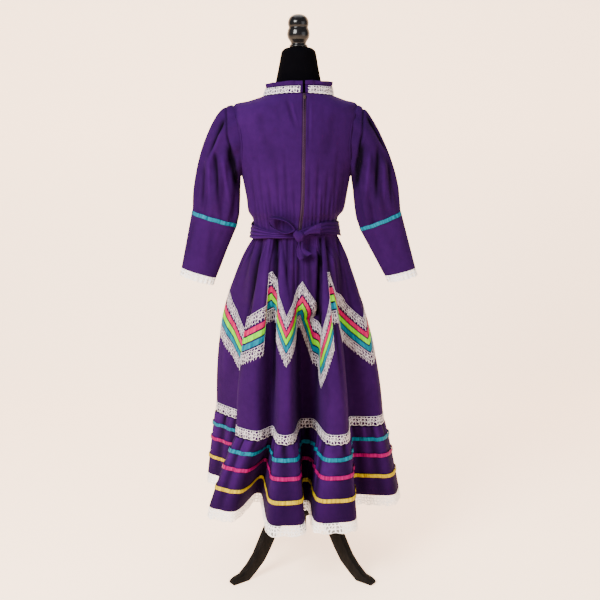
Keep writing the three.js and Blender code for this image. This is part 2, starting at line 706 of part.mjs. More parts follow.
// Belt: a folded sash whose middle height and depth change round the waist, tied at the back.
const beltTable = [
  { angle: -180, z: 1016, height: 42 }, { angle: -100, z: 1013, height: 42 }, { angle: -60, z: 1010, height: 34 },
  { angle: -35, z: 1009, height: 18 }, { angle: 0, z: 1010, height: 14 }, { angle: 20, z: 1021, height: 24 },
  { angle: 45, z: 1026, height: 34 }, { angle: 90, z: 1013, height: 42 }, { angle: 180, z: 1016, height: 42 },
];
const beltInner = { halfWidth: 124, halfDepth: 98 };
const beltSpread = 3.1;
const beltThickness = 2.4;
const beltColumns = 32;

function beltRow(side) {
  return Array.from({ length: beltColumns }, (unused, c) => {
    const degrees = (360 * c) / beltColumns - 180;
    const k = Math.max(beltTable.findIndex((row) => row.angle >= degrees), 1);
    const [from, to] = [beltTable[k - 1], beltTable[k]];
    const t = (degrees - from.angle) / (to.angle - from.angle);
    const angle = radians(degrees);
    return vec(
      waistCentreX + (beltInner.halfWidth - side * beltSpread) * Math.sin(angle),
      -(beltInner.halfDepth - side * beltSpread) * Math.cos(angle),
      mix(from.z, to.z, t) + side * mix(from.height, to.height, t) * 0.5,
    );
  });
}
addPiece('belt_band', wall(makeSheet([beltRow(1), beltRow(-1)], true), 0, beltThickness), 'cloth');

const knot = { x: -6, y: -110.5, z: 1008, halfWidth: 13, halfDepth: 8, halfHeight: 17 };
const knotGeometry = new THREE.SphereGeometry(1, 10, 7);
knotGeometry.scale(knot.halfWidth, knot.halfDepth, knot.halfHeight);
knotGeometry.rotateY(radians(-32));
knotGeometry.translate(knot.x, knot.y, knot.z);
knotGeometry.deleteAttribute('normal');
knotGeometry.deleteAttribute('uv');
addPiece('belt_knot', mergeVertices(knotGeometry, 1e-4), 'cloth');

// The open bow loop: a closed band round an oval, its upper run tipped to face up and back.
const loopOval = {
  x: -53, z: 1040, halfLong: 35.5, halfShort: 18, tilt: 24, columns: 18, width: 21, nearY: -97.3,
};
function bowLoop() {
  const rows = [0, 0.5, 1].map((w) => Array.from({ length: loopOval.columns }, (unused, c) => {
    const angle = (2 * Math.PI * c) / loopOval.columns;
    const [u, v] = [loopOval.halfLong * Math.cos(angle), loopOval.halfShort * Math.sin(angle)];
    const tilt = radians(-loopOval.tilt);
    const x = loopOval.x + u * Math.cos(tilt) - v * Math.sin(tilt);
    const z = loopOval.z + u * Math.sin(tilt) + v * Math.cos(tilt);
    const tip = 7 * Math.max(Math.sin(angle), 0) * w;
    return vec(x, loopOval.nearY - loopOval.width * w, z - tip);
  }));
  return wall(makeSheet(rows.reverse(), true), 0, 1.8);
}
addPiece('belt_loop_left', bowLoop(), 'cloth');

// Flat ends: rows from the knot outward, each a middle place with half a width across it.
function sashEnd(stations, thickness) {
  const rows = [1, 0, -1].map((side) => stations.map(({ x, y, z, half, turn }) => vec(
    x - side * half * Math.sin(radians(turn)),
    y - (side === 0 ? thickness * 0.6 : 0),
    z + side * half * Math.cos(radians(turn)),
  )));
  return wall(makeSheet(rows, false), 0, thickness);
}
const rightLoopStations = [
  { x: 6.9, y: -103.6, z: 1011, half: 4, turn: 0 },
  { x: 24, y: -106, z: 1021, half: 7, turn: 0 },
  { x: 42, y: -106, z: 1027, half: 12, turn: -4 },
  { x: 55, y: -103.5, z: 1029, half: 15, turn: -8 },
];
addPiece('belt_loop_right', sashEnd(rightLoopStations, 3), 'cloth');
const tailStations = [
  { x: 0, y: -111, z: 992, half: 6, turn: 92 },
  { x: -2, y: -113.5, z: 974, half: 9, turn: 101 },
  { x: 4, y: -117, z: 961, half: 16, turn: 112 },
  { x: 14, y: -121, z: 952, half: 20, turn: 118 },
].reverse();
addPiece('belt_tail', sashEnd(tailStations, 1.8), 'cloth');

// Dress form: torso a little inside the bodice, resting under its shoulders, then neck, finial and stand.
const formSides = 28;
const angleRing = (make) => Array.from({ length: formSides }, (unused, c) => make((2 * Math.PI * c) / formSides));
const underShoulders = [[1.6, 3.5, 1.2], [1, 1.2, 1], [0, 3, 0.3]];
const insideBodice = [[6.5, 12], [5, 11], [4, 11], [3.2, 13]];
const torsoRings = [
  ovalRing(waistCentreX, 0, 114, 78, formBottom, formSides),
  ovalRing(waistCentreX, 0, 126, 90, formBottom + 14, formSides),
  ovalRing(waistCentreX, 0, 126, 92, formBottom + 44, formSides),
  ovalRing(waistCentreX, 0, 103, 78, 1012, formSides),
  ...insideBodice.map(([place, inset]) => angleRing((angle) => bodicePoint(sectionAt(place), angle, inset))),
  ...underShoulders.map(([place, inset, drop]) => (
    angleRing((angle) => bodicePoint(sectionAt(place), angle, inset, drop))
  )),
  ovalRing(-3, -5, 75, 53, 1394, formSides),
  ovalRing(-3, -5, 67, 50, 1400, formSides),
];
addPiece('form_torso', loft(torsoRings), 'formCloth');

const neckRings = [
  [-3, -5, 66, 50, 1400.4], [-3, -4, 62, 50, 1425], [-2.5, -2, 54.5, 48, 1462], [-2, 0, 49, 46, 1492],
  [-2, 0, 44, 41, 1506], [-2, 0, 26, 25, 1515],
].map(([x, y, halfWidth, halfDepth, z]) => ovalRing(x, y, halfWidth, halfDepth, z, 16));
addPiece('form_neck', loft(neckRings), 'formCloth');

const finialProfile = [
  [0, 1515.4], [24, 1515.4], [25, 1519], [21, 1523], [22, 1528], [29, 1539], [31, 1549], [29, 1559], [26.5, 1566],
  [28.5, 1575], [28, 1584], [22, 1595], [11, 1601], [0, 1602.5],
];
const finial = turned(finialProfile, 14);
finial.translate(-2, 0, 0);
addPiece('form_finial', finial, 'gloss');

const poleRadius = 11;
const hubProfile = [[0, 150], [24, 150], [30, 160], [30, 214], [22, 228], [0, 228]];
addPiece('form_hub', turned(hubProfile, 12), 'paintedWood');
const pole = turned([[0, 228.3], [poleRadius, 228.3], [poleRadius, formBottom - 0.4], [0, formBottom - 0.4]], 14);
addPiece('form_pole', pole, 'metal');

// Each leg is a flat curved board standing on edge: a middle line with its half width, as radius and height.
const legStations = [
  { radius: 30.4, z: 190, half: 21 }, { radius: 62, z: 184, half: 21.5 }, { radius: 96, z: 160, half: 21.5 },
  { radius: 124, z: 125, half: 21 }, { radius: 144, z: 90, half: 20.5 }, { radius: 164, z: 58, half: 19 },
  { radius: 190, z: 32, half: 16.5 },
];
const legThickness = 22;
const footTip = 262;
function standLeg(degrees) {
  const upper = [];
  const lower = [];
  legStations.forEach((station, k) => {
    const before = legStations[Math.max(k - 1, 0)];
    const after = legStations[Math.min(k + 1, legStations.length - 1)];
    const along = new THREE.Vector2(after.radius - before.radius, after.z - before.z).normalize();
    upper.push(new THREE.Vector2(station.radius - along.y * station.half, station.z + along.x * station.half));
    lower.push(new THREE.Vector2(station.radius + along.y * station.half, station.z - along.x * station.half));
  });
  upper[0].x = legStations[0].radius;
  lower[0].x = legStations[0].radius;
  const foot = [[228, 22], [250, 17], [footTip - 2, 11], [footTip, 5], [footTip - 4, 0], [205, 0]];
  const outline = [...upper, ...foot.map(([x, y]) => new THREE.Vector2(x, y)), ...lower.reverse()];
  const shape = new THREE.Shape(outline);
  const geometry = new THREE.ExtrudeGeometry(shape, { depth: legThickness, bevelEnabled: false });
  geometry.translate(0, 0, -legThickness / 2);
  geometry.rotateX(Math.PI / 2);
  geometry.rotateZ(radians(degrees - 90));
  return geometry;
}
const legAngles = { form_leg_left: -53, form_leg_right: 51, form_leg_far: 180 };
for (const [name, degrees] of Object.entries(legAngles)) addPiece(name, standLeg(degrees), 'paintedWood');

// The origin is the middle of the whole outline at floor level.
dress.updateMatrixWorld(true);
const box = new THREE.Box3().setFromObject(dress);
const middle = box.getCenter(new THREE.Vector3());
dress.position.set(-middle.x, -middle.y, -box.min.z);

export default dress;
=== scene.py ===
import math

import bpy
import numpy as np
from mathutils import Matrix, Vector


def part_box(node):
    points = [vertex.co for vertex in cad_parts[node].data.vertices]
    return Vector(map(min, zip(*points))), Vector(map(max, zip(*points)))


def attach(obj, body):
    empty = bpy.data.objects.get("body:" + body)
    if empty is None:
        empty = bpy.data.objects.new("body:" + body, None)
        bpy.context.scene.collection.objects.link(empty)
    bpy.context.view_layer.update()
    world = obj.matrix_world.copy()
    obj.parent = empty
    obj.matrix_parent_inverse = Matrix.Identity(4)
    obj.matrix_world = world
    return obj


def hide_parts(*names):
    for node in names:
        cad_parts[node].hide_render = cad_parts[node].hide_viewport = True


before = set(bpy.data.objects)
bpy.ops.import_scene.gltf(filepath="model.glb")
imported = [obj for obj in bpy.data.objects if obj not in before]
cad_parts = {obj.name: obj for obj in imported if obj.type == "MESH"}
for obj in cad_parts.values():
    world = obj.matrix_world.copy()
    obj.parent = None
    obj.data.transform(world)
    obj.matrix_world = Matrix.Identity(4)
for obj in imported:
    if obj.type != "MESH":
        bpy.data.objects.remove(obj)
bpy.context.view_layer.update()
poleLow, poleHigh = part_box("form_pole")
poleAxis = np.array([(poleLow[0] + poleHigh[0]) / 2, (poleLow[1] + poleHigh[1]) / 2, 0])

# Lengths below are millimetres from the pole's axis at floor level; makeMesh turns them into metres in the row frame.

camera = {"distance": 2800, "height": 1383, "left": -3.4, "down": 11.62, "roll": -0.45, "lens": 59.46}
cameraData = bpy.data.cameras.new("camera")
cameraData.sensor_width = 36
cameraData.lens = camera["lens"]
cameraData.clip_end = 60
cameraObject = bpy.data.objects.new("camera", cameraData)
bpy.context.collection.objects.link(cameraObject)
cameraObject.location = np.array([camera["left"], -camera["distance"], camera["height"]]) / 1000 + poleAxis
cameraObject.rotation_mode = "XYZ"
tilt, roll = math.radians(90 - camera["down"]), math.radians(camera["roll"])
cameraObject.rotation_euler = (tilt, 0, 0)
cameraObject.rotation_euler.rotate_axis("Z", roll)
bpy.context.scene.camera = cameraObject
print("camera placed")


# the value a share t of the way from a to b
def mix(a, b, t):
    return a + (b - a) * t


# 0 below low, 1 above high, an S curve between
def ease(t, low=0.0, high=1.0):
    t = np.clip((np.asarray(t, float) - low) / (high - low), 0, 1)
    return t * t * (3 - 2 * t)


# a bell of the given half width, 1 at its middle
def bell(distance, halfWidth):
    return np.exp(-((distance / halfWidth) ** 2))


# vectors made one long
def unitOf(vectors):
    return vectors / np.maximum(np.linalg.norm(vectors, axis=-1, keepdims=True), 1e-9)


# cross product of the steps down and across a grid of points, made one long
def normalsOf(points, closed):
    if closed:
        across = np.roll(points, -1, 1) - np.roll(points, 1, 1)
    else:
        across = np.gradient(points, axis=1)
    return unitOf(np.cross(np.gradient(points, axis=0), across))


# running length along the rows or columns of a grid of points
def distanceAlong(points, axis):
    step = np.linalg.norm(np.diff(points, axis=axis), axis=2)
    start = np.zeros_like(np.take(step, [0], axis))
    return np.concatenate([start, np.cumsum(step, axis)], axis)


# modifiers, material, body and CAD node of a piece; the slot is not used; thickness and bevel are millimetres
def finishPiece(piece, node, slotName, material, thickness=0, bevel=0):
    if thickness:
        shell = piece.modifiers.new("shell", "SOLIDIFY")
        shell.thickness, shell.offset = thickness / 1000, 1
    if bevel:
        rounding = piece.modifiers.new("rounding", "BEVEL")
        rounding.width, rounding.segments, rounding.angle_limit = bevel / 1000, 3, math.radians(28)
    piece.data.materials.append(material)
    piece.data.shade_smooth()
    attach(piece, "root")
    if node:
        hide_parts(node)


# a piece that replaces a CAD node has its name with _fine
def pieceName(name):
    return name + "_fine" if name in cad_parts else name


def linkObject(name, data):
    item = bpy.data.objects.new(name, data)
    bpy.context.collection.objects.link(item)
    return item


# painted shade and light: the cloth's colour darkens in a fold's trough and lightens on its ridge; the attribute is
# depth over span, kept between deepest and highest
foldPaintedShade = {"span": 10, "deepest": -1, "highest": 0.6, "strength": 0.92}


def makeMesh(name, points, faces, uv, fold=None):
    name = pieceName(name)
    mesh = bpy.data.meshes.new(name)
    places = np.asarray(points, float).reshape(-1, 3) / 1000 + poleAxis
    mesh.vertices.add(len(places))
    mesh.vertices.foreach_set("co", places.ravel())
    mesh.loops.add(faces.size)
    mesh.loops.foreach_set("vertex_index", faces.ravel().astype(np.int32))
    mesh.polygons.add(len(faces))
    mesh.polygons.foreach_set("loop_start", np.arange(len(faces), dtype=np.int32) * faces.shape[1])
    mesh.update(calc_edges=True)
    mesh.uv_layers.new(name="cloth").data.foreach_set("uv", uv.ravel())
    # the fold attribute carries painted shade in troughs and painted light on ridges
    if fold is not None:
        depth = np.broadcast_to(fold, points.shape[:2]) / foldPaintedShade["span"]
        depth = np.clip(depth, foldPaintedShade["deepest"], foldPaintedShade["highest"])
        mesh.attributes.new("fold", "FLOAT", "POINT").data.foreach_set("value", depth.ravel())
    mesh.validate()
    return linkObject(name, mesh)


# quads of a grid, with the row and column of each one's first corner; a closed grid's last column meets its first
def quadGrid(rows, columns, closed):
    cells = columns if closed else columns - 1
    r, c = [index.ravel() for index in np.meshgrid(np.arange(rows - 1), np.arange(cells), indexing="ij")]
    d = (c + 1) % columns
    return r, c, np.stack([r * columns + c, (r + 1) * columns + c, (r + 1) * columns + d, r * columns + d], 1)


# A grid of points, rows from the top down, as a sheet of quads. The UV map is metres along and down the cloth.
def makeSheet(name, points, closed=False, along=None, down=None, fold=None):
    r, c, faces = quadGrid(*points.shape[:2], closed)
    ring = np.concatenate([points, points[:, :1]], 1) if closed else points
    if along is None:
        lengths = distanceAlong(ring, 1)
        along = lengths[np.argmax(lengths[:, -1])]
    down = distanceAlong(ring, 0) if down is None else down
    along, down = np.broadcast_to(along, ring.shape[:2]), np.broadcast_to(down, ring.shape[:2])
    corner = [(r, c), (r + 1, c), (r + 1, c + 1), (r, c + 1)]
    uv = np.stack([np.stack([along[a, b], down[a, b]], 1) for a, b in corner], 1) / 1000
    return makeMesh(name, points, faces, uv, fold)


# Closed rings, bottom up, with a flat fan at each end
def makeLoft(name, rings):
    count, sides = rings.shape[:2]
    quads = quadGrid(count, sides, True)[2][:, [0, 3, 2, 1]]
    points = np.concatenate([rings.reshape(-1, 3), rings[[0, -1]].mean(1)])
    here = np.arange(sides)
    after, topRow, centre = (here + 1) % sides, (count - 1) * sides, count * sides
    lowFan = np.stack([np.full(sides, centre), after, here], 1)
    highFan = np.stack([np.full(sides, centre + 1), topRow + here, topRow + after], 1)
    name = pieceName(name)
    mesh = bpy.data.meshes.new(name)
    mesh.from_pydata((points / 1000 + poleAxis).tolist(), [], quads.tolist() + lowFan.tolist() + highFan.tolist())
    return linkObject(name, mesh)


def addNode(tree, kind, inputs=None, **settings):
    node = tree.nodes.new(kind)
    for key, value in settings.items():
        setattr(node, key, value)
    for key, value in (inputs or {}).items():
        if isinstance(value, bpy.types.NodeSocket):
            tree.links.new(value, node.inputs[key])
        else:
            node.inputs[key].default_value = value
    return node


def maths(tree, operation, a, b=0.0, c=0.0):
    return addNode(tree, "ShaderNodeMath", {0: a, 1: b, 2: c}, operation=operation).outputs[0]


def startGroup(name, inputs, outputs):
    group = bpy.data.node_groups.new(name, "ShaderNodeTree")
    for label, kind, value in inputs:
        socket = group.interface.new_socket(name=label, in_out="INPUT", socket_type=kind)
        if value is not None:
            socket.default_value = value
    for label, kind in outputs:
        group.interface.new_socket(name=label, in_out="OUTPUT", socket_type=kind)
    return group, group.nodes.new("NodeGroupInput"), group.nodes.new("NodeGroupOutput")


# Plain weave: threads that pass over and under, the product of a wave along and a wave across
def buildWeave():
    group, given, result = startGroup("plainWeave", [
        ("Along", "NodeSocketFloat", 0.0), ("Down", "NodeSocketFloat", 0.0), ("Threads", "NodeSocketFloat", 2400.0),
    ], [("Height", "NodeSocketFloat")])
    waves = []
    for label in ("Along", "Down"):
        turns = maths(group, "MULTIPLY", given.outputs[label], given.outputs["Threads"])
        waves.append(maths(group, "SINE", maths(group, "MULTIPLY", turns, 2 * math.pi)))
    product = maths(group, "MULTIPLY", *waves)
    group.links.new(maths(group, "MULTIPLY_ADD", product, 0.5, 0.5), result.inputs["Height"])
    return group


# Slow unevenness of dye and of handling: two noises, one broad and one fine
def buildMottle():
    group, given, result = startGroup("clothMottle", [
        ("Place", "NodeSocketVector", None), ("Broad", "NodeSocketFloat", 9.0), ("Fine", "NodeSocketFloat", 70.0),
    ], [("Mask", "NodeSocketFloat"), ("Rumple", "NodeSocketFloat")])
    broad, fine = [
        addNode(group, "ShaderNodeTexNoise", {"Vector": given.outputs["Place"], "Scale": given.outputs[label],
                                              "Detail": detail}).outputs["Fac"]
        for label, detail in (("Broad", 4.0), ("Fine", 3.0))
    ]
    mask = maths(group, "MULTIPLY_ADD", fine, 0.35, maths(group, "MULTIPLY", broad, 0.65))
    group.links.new(mask, result.inputs["Mask"])
    group.links.new(fine, result.inputs["Rumple"])
    return group


# shares of the band's height or of one repeat; cells wander by the randomness
lacePattern = {"randomness": 0.6, "stemSwing": 0.17, "stemPlace": 0.42, "stemHalf": 0.02, "petals": 5.0,
               "petalSwing": 0.11, "petalReach": 0.23, "outlineHalf": 0.022, "heart": 0.06, "edgeBand": 0.035,
               "netRelief": 0.4}


# Net lace: uneven cells, a waving stem with flowers in its bends along the band, and solid bands at both edges
def buildLace():
    labels = ("Along", "Down", "Height", "Repeat", "Cell", "Thread")
    group, given, result = startGroup(
        "laceNet", [(label, "NodeSocketFloat", 0.0) for label in labels],
        [("Cover", "NodeSocketFloat"), ("Relief", "NodeSocketFloat")])
    along, down, height, repeat, cell, thread = [given.outputs[label] for label in labels]

    def calc(operation, a, b=0.0, c=0.0):
        return maths(group, operation, a, b, c)

    def near(a, b, half):
        return calc("LESS_THAN", calc("ABSOLUTE", calc("SUBTRACT", a, b)), half)

    cells = addNode(group, "ShaderNodeCombineXYZ", {0: calc("DIVIDE", along, cell), 1: calc("DIVIDE", down, cell)})
    net = addNode(group, "ShaderNodeTexVoronoi", {
        "Vector": cells.outputs[0], "Scale": 1.0, "Randomness": lacePattern["randomness"],
    }, feature="DISTANCE_TO_EDGE", voronoi_dimensions="2D")
    threads = calc("LESS_THAN", net.outputs["Distance"], thread)
    repeats, share = calc("DIVIDE", along, repeat), calc("DIVIDE", down, height)
    wave = calc("SINE", calc("MULTIPLY", repeats, 2 * math.pi))
    stemLine = calc("MULTIPLY_ADD", wave, lacePattern["stemSwing"], lacePattern["stemPlace"])
    stem = near(share, stemLine, lacePattern["stemHalf"])
    across = calc("SUBTRACT", calc("FRACT", repeats), 0.5)
    upright = calc("MULTIPLY", calc("SUBTRACT", share, 0.5), calc("DIVIDE", height, repeat))
    angle = calc("MULTIPLY", calc("ARCTAN2", upright, across), lacePattern["petals"])
    radius = calc("SQRT", calc("ADD", calc("MULTIPLY", across, across), calc("MULTIPLY", upright, upright)))
    petal = calc("MULTIPLY_ADD", calc("COSINE", angle), lacePattern["petalSwing"], lacePattern["petalReach"])
    outline = near(radius, petal, lacePattern["outlineHalf"])
    flower = calc("MAXIMUM", outline, calc("LESS_THAN", radius, lacePattern["heart"]))
    cover = threads
    for part in (stem, flower, calc("LESS_THAN", share, lacePattern["edgeBand"]),
                 calc("GREATER_THAN", share, 1 - lacePattern["edgeBand"])):
        cover = calc("MAXIMUM", cover, part)
    relief = calc("MAXIMUM", calc("MULTIPLY", threads, lacePattern["netRelief"]), calc("MAXIMUM", flower, stem))
    group.links.new(cover, result.inputs["Cover"])
    group.links.new(relief, result.inputs["Relief"])
    return group


weaveGroup, mottleGroup, laceGroup = buildWeave(), buildMottle(), buildLace()


def startMaterial(name, sockets):
    material = bpy.data.materials.new(name)
    material.use_nodes = True
    tree = material.node_tree
    shader = tree.nodes["Principled BSDF"]
    for key, value in sockets.items():
        shader.inputs[key].default_value = value
    return material, tree, shader


def colourRamp(tree, factor, stops):
    ramp = addNode(tree, "ShaderNodeValToRGB", {"Fac": factor})
    elements = ramp.color_ramp.elements
    while len(elements) < len(stops):
        elements.new(0.5)
    for element, (place, colour) in zip(elements, stops):
        element.position, element.color = place, (*colour, 1)
    return ramp.outputs["Color"]


def setColour(tree, shader, factor, stops):
    tree.links.new(colourRamp(tree, factor, stops), shader.inputs["Base Color"])


# roughness: the least, and how much the factor adds
def setRoughness(tree, shader, factor, least, more):
    tree.links.new(maths(tree, "MULTIPLY_ADD", factor, more, least), shader.inputs["Roughness"])


def setBump(tree, shader, height, strength, distance):
    bump = addNode(tree, "ShaderNodeBump", {"Height": height, "Strength": strength, "Distance": distance})
    tree.links.new(bump.outputs["Normal"], shader.inputs["Normal"])


def objectPlace(tree):
    return addNode(tree, "ShaderNodeTexCoord").outputs["Object"]


def mottleOf(tree, broad, fine):
    inputs = {"Place": objectPlace(tree), "Broad": broad, "Fine": fine}
    mottle = addNode(tree, "ShaderNodeGroup", inputs, node_tree=mottleGroup)
    return mottle.outputs["Mask"], mottle.outputs["Rumple"]


def clothUv(tree):
    split = addNode(tree, "ShaderNodeSeparateXYZ", {0: addNode(tree, "ShaderNodeUVMap", uv_map="cloth").outputs[0]})
    return split.outputs[0], split.outputs[1]


# Woven cloth: mottled dye, with painted shade and light from the fold attribute that darken it in troughs and lighten
# it on ridges, and a weave with a soft rumple over it
def clothMaterial(name, dark, mid, light, rough=0.82, sheen=0.02, sheenTint=(0.5, 0.28, 0.9), threads=1500.0,
                  rumple=0.5, gloss=0.03):
    material, tree, shader = startMaterial(name, {
        "Specular IOR Level": gloss, "Sheen Weight": sheen, "Sheen Roughness": 0.5, "Sheen Tint": (*sheenTint, 1)})
    mask, crumple = mottleOf(tree, 6.0, 55.0)
    dye = colourRamp(tree, mask, [(0.3, dark), (0.5, mid), (0.7, light)])
    # painted shade and light: the dye is scaled by the fold attribute
    depth = addNode(tree, "ShaderNodeAttribute", attribute_name="fold").outputs["Fac"]
    shade = maths(tree, "MULTIPLY_ADD", depth, foldPaintedShade["strength"], 1.0)
    tone = addNode(tree, "ShaderNodeVectorMath", {0: dye, "Scale": shade}, operation="SCALE")
    tree.links.new(tone.outputs[0], shader.inputs["Base Color"])
    along, down = clothUv(tree)
    weave = addNode(tree, "ShaderNodeGroup", {"Along": along, "Down": down, "Threads": threads}, node_tree=weaveGroup)
    setRoughness(tree, shader, mask, rough - 0.08, 0.16)
    height = maths(tree, "MULTIPLY_ADD", weave.outputs["Height"], 0.12, maths(tree, "MULTIPLY", crumple, rumple))
    setBump(tree, shader, height, 0.35, 0.002)
    return material


# Satin: painted highlights as streaks of lighter colour across the ribbon, and fine ribs
def satinMaterial(name, dark, light, rough=0.36):
    material, tree, shader = startMaterial(name, {
        "Specular IOR Level": 0.03, "Sheen Weight": 0.0, "Anisotropic": 0.3})
    along, down = clothUv(tree)
    place = addNode(tree, "ShaderNodeCombineXYZ", {
        0: maths(tree, "MULTIPLY", along, 160.0), 1: maths(tree, "MULTIPLY", down, 18.0)})
    noise = addNode(tree, "ShaderNodeTexNoise", {"Vector": place.outputs[0], "Scale": 1.0, "Detail": 3.0})
    highlightStreak = noise.outputs["Fac"]
    setColour(tree, shader, highlightStreak, [(0.32, dark), (0.66, light)])
    ribs = maths(tree, "SINE", maths(tree, "MULTIPLY", along, 2 * math.pi * 1400.0))
    setRoughness(tree, shader, highlightStreak, rough - 0.1, 0.25)
    setBump(tree, shader, maths(tree, "MULTIPLY_ADD", ribs, 0.05, highlightStreak), 0.3, 0.0015)
    return material


# height of the band, length of one repeat and size of a cell in metres; open is how solid the holes look
def laceMaterial(name, height, repeat, cell, thread, open, colour):
    material, tree, shader = startMaterial(name, {"Specular IOR Level": 0.2, "Sheen Weight": 0.1})
    along, down = clothUv(tree)
    lace = addNode(tree, "ShaderNodeGroup", {
        "Along": along, "Down": down, "Height": height, "Repeat": repeat, "Cell": cell, "Thread": thread,
    }, node_tree=laceGroup)
    mask, crumple = mottleOf(tree, 20.0, 260.0)
    setColour(tree, shader, mask, [(0.35, tuple(0.86 * v for v in colour)), (0.6, colour)])
    tree.links.new(maths(tree, "MULTIPLY_ADD", lace.outputs["Cover"], 1 - open, open), shader.inputs["Alpha"])
    setRoughness(tree, shader, mask, 0.72, 0.2)
    setBump(tree, shader, lace.outputs["Relief"], 0.5, 0.0008)
    return material


# Black wood: long grain, and a gloss that is worn unevenly
def woodMaterial():
    material, tree, shader = startMaterial("standWood", {
        "Specular IOR Level": 0.05, "Coat Weight": 0.01, "Coat Roughness": 0.3})
    stretched = addNode(tree, "ShaderNodeMapping", {"Vector": objectPlace(tree), "Scale": (60, 60, 9)})
    grain = addNode(tree, "ShaderNodeTexNoise", {
        "Vector": stretched.outputs[0], "Scale": 1.0, "Detail": 6.0, "Distortion": 0.6}).outputs["Fac"]
    setColour(tree, shader, grain, [(0.35, (0.002, 0.0017, 0.0017)), (0.65, (0.005, 0.0042, 0.004))])
    setRoughness(tree, shader, mottleOf(tree, 14.0, 120.0)[0], 0.4, 0.4)
    setBump(tree, shader, grain, 0.2, 0.001)
    return material


# Lacquer or painted metal: worn between a dark and a light tone
def wornMaterial(name, sockets, broad, fine, stops, least, more, strength, distance):
    material, tree, shader = startMaterial(name, sockets)
    mask, crumple = mottleOf(tree, broad, fine)
    setColour(tree, shader, mask, stops)
    setRoughness(tree, shader, mask, least, more)
    setBump(tree, shader, crumple, strength, distance)
    return material


def metalMaterial(name, dark, light, rough):
    return wornMaterial(name, {"Metallic": 0.85, "Specular IOR Level": 0.5}, 60.0, 700.0, [(0.35, dark), (0.65, light)],
                        rough - 0.15, 0.3, 0.15, 0.0005)


purple = {"dark": (0.0128, 0.0014, 0.033), "mid": (0.0172, 0.0021, 0.043), "light": (0.0225, 0.0031, 0.053)}
purpleCloth = clothMaterial("purpleCotton", **purple)
formCover = clothMaterial(
    "formCover", (0.0008, 0.0007, 0.0012), (0.0011, 0.0010, 0.0016), (0.0016, 0.0014, 0.0022), rough=0.9, sheen=0.0,
    sheenTint=(0.3, 0.3, 0.35), threads=900.0, rumple=0.15, gloss=0.01)
# each satin's second colour is the painted highlight of its streaks
turquoiseSatin = satinMaterial("turquoiseSatin", (0.001, 0.050, 0.090), (0.004, 0.15, 0.23))
magentaSatin = satinMaterial("magentaSatin", (0.11, 0.0006, 0.040), (0.30, 0.002, 0.11))
yellowSatin = satinMaterial("yellowSatin", (0.22, 0.15, 0.0), (0.50, 0.375, 0.0), rough=0.5)
pinkSatin = satinMaterial("pinkSatin", (0.20, 0.0008, 0.035), (0.40, 0.004, 0.085))
limeSatin = satinMaterial("limeSatin", (0.075, 0.30, 0.0), (0.15, 0.56, 0.002))
flatLace = laceMaterial("flatLace", 0.038, 0.034, 0.0105, 0.075, 0.0, (0.54, 0.50, 0.56))
collarLaceNet = laceMaterial("collarLaceNet", 0.018, 0.022, 0.0088, 0.10, 0.0, (0.74, 0.71, 0.76))
skirtLaceNet = laceMaterial("skirtLaceNet", 0.029, 0.03, 0.0100, 0.09, 0.0, (0.62, 0.58, 0.64))
hemLaceNet = laceMaterial("hemLaceNet", 0.031, 0.03, 0.0105, 0.18, 0.12, (0.95, 0.94, 0.96))
standWood = woodMaterial()
finialLacquer = wornMaterial(
    "finialLacquer", {"Specular IOR Level": 0.2, "Coat Weight": 0.12, "Coat Roughness": 0.08}, 30.0, 240.0,
    [(0.35, (0.0025, 0.0025, 0.003)), (0.7, (0.005, 0.0048, 0.006))], 0.1, 0.2, 0.06, 0.001)
zipTapeCloth = clothMaterial("zipTapeCloth", (0.022, 0.009, 0.026), (0.030, 0.013, 0.034), (0.040, 0.018, 0.044),
                             rough=0.7, sheen=0.0, threads=1200.0, rumple=0.1)
zipCoilPlastic = clothMaterial("zipCoilPlastic", (0.006, 0.0022, 0.009), (0.009, 0.0035, 0.012), (0.013, 0.006, 0.017),
                               rough=0.45, sheen=0.0, threads=600.0, rumple=0.1, gloss=0.1)
sliderMetal = metalMaterial("sliderMetal", (0.030, 0.020, 0.018), (0.07, 0.052, 0.045), 0.42)
polePaint = metalMaterial("polePaint", (0.004, 0.004, 0.005), (0.010, 0.010, 0.012), 0.4)
print("materials made")

# what each kind of cloth is: the record's slot, the material, and the thickness in mm
cloths = {
    "bodice": ("purple_cloth", purpleCloth, 1.0), "skirt": ("purple_cloth", purpleCloth, 1.2),
    "frill": ("purple_cloth", purpleCloth, 0.9), "tape": ("zip_tape", zipTapeCloth, 0.7),
    "flatLace": ("lace_white", flatLace, 0.5), "collarLace": ("lace_white", collarLaceNet, 0.5),
    "skirtLace": ("lace_white", skirtLaceNet, 0.5), "hemLace": ("lace_white", hemLaceNet, 0.5),
    "turquoise": ("ribbon_turquoise", turquoiseSatin, 0.5), "magenta": ("ribbon_magenta", magentaSatin, 0.5),
    "yellow": ("ribbon_yellow", yellowSatin, 0.5), "pink": ("ribbon_pink", pinkSatin, 0.5),
    "lime": ("ribbon_lime", limeSatin, 0.5),
}


# a sheet of cloth in its finish; flat and area, its cut size in metres, are not used
def makeCloth(name, kind, points, held, restsOn, flat, area=None, **grid):
    piece = makeSheet(name, points, **grid)
    finishPiece(piece, name, *cloths[kind])
    return piece


# 0 up to the first value, 1 between the second and third, and 0 again from the fourth
def window(t, risesFrom, risesTo, fallsFrom, fallsTo):
    return ease(t, risesFrom, risesTo) * (1 - ease(t, fallsFrom, fallsTo))


bodice = {"armholeZ": 1262, "armholeHalfHeight": 94, "armholeHalfDepth": 49, "rows": 96, "columns": 70,
          "creaseDepth": 2.0, "armholeRise": 6.0, "riseHeights": (1165, 1215, 1318, 1352),
          "creaseRows": (0.0, 0.35, 8.7, 9.0), "edgeShare": 0.12, "seamGap": 0.0015, "middleX": -11.5,
          "middleHalf": 90}
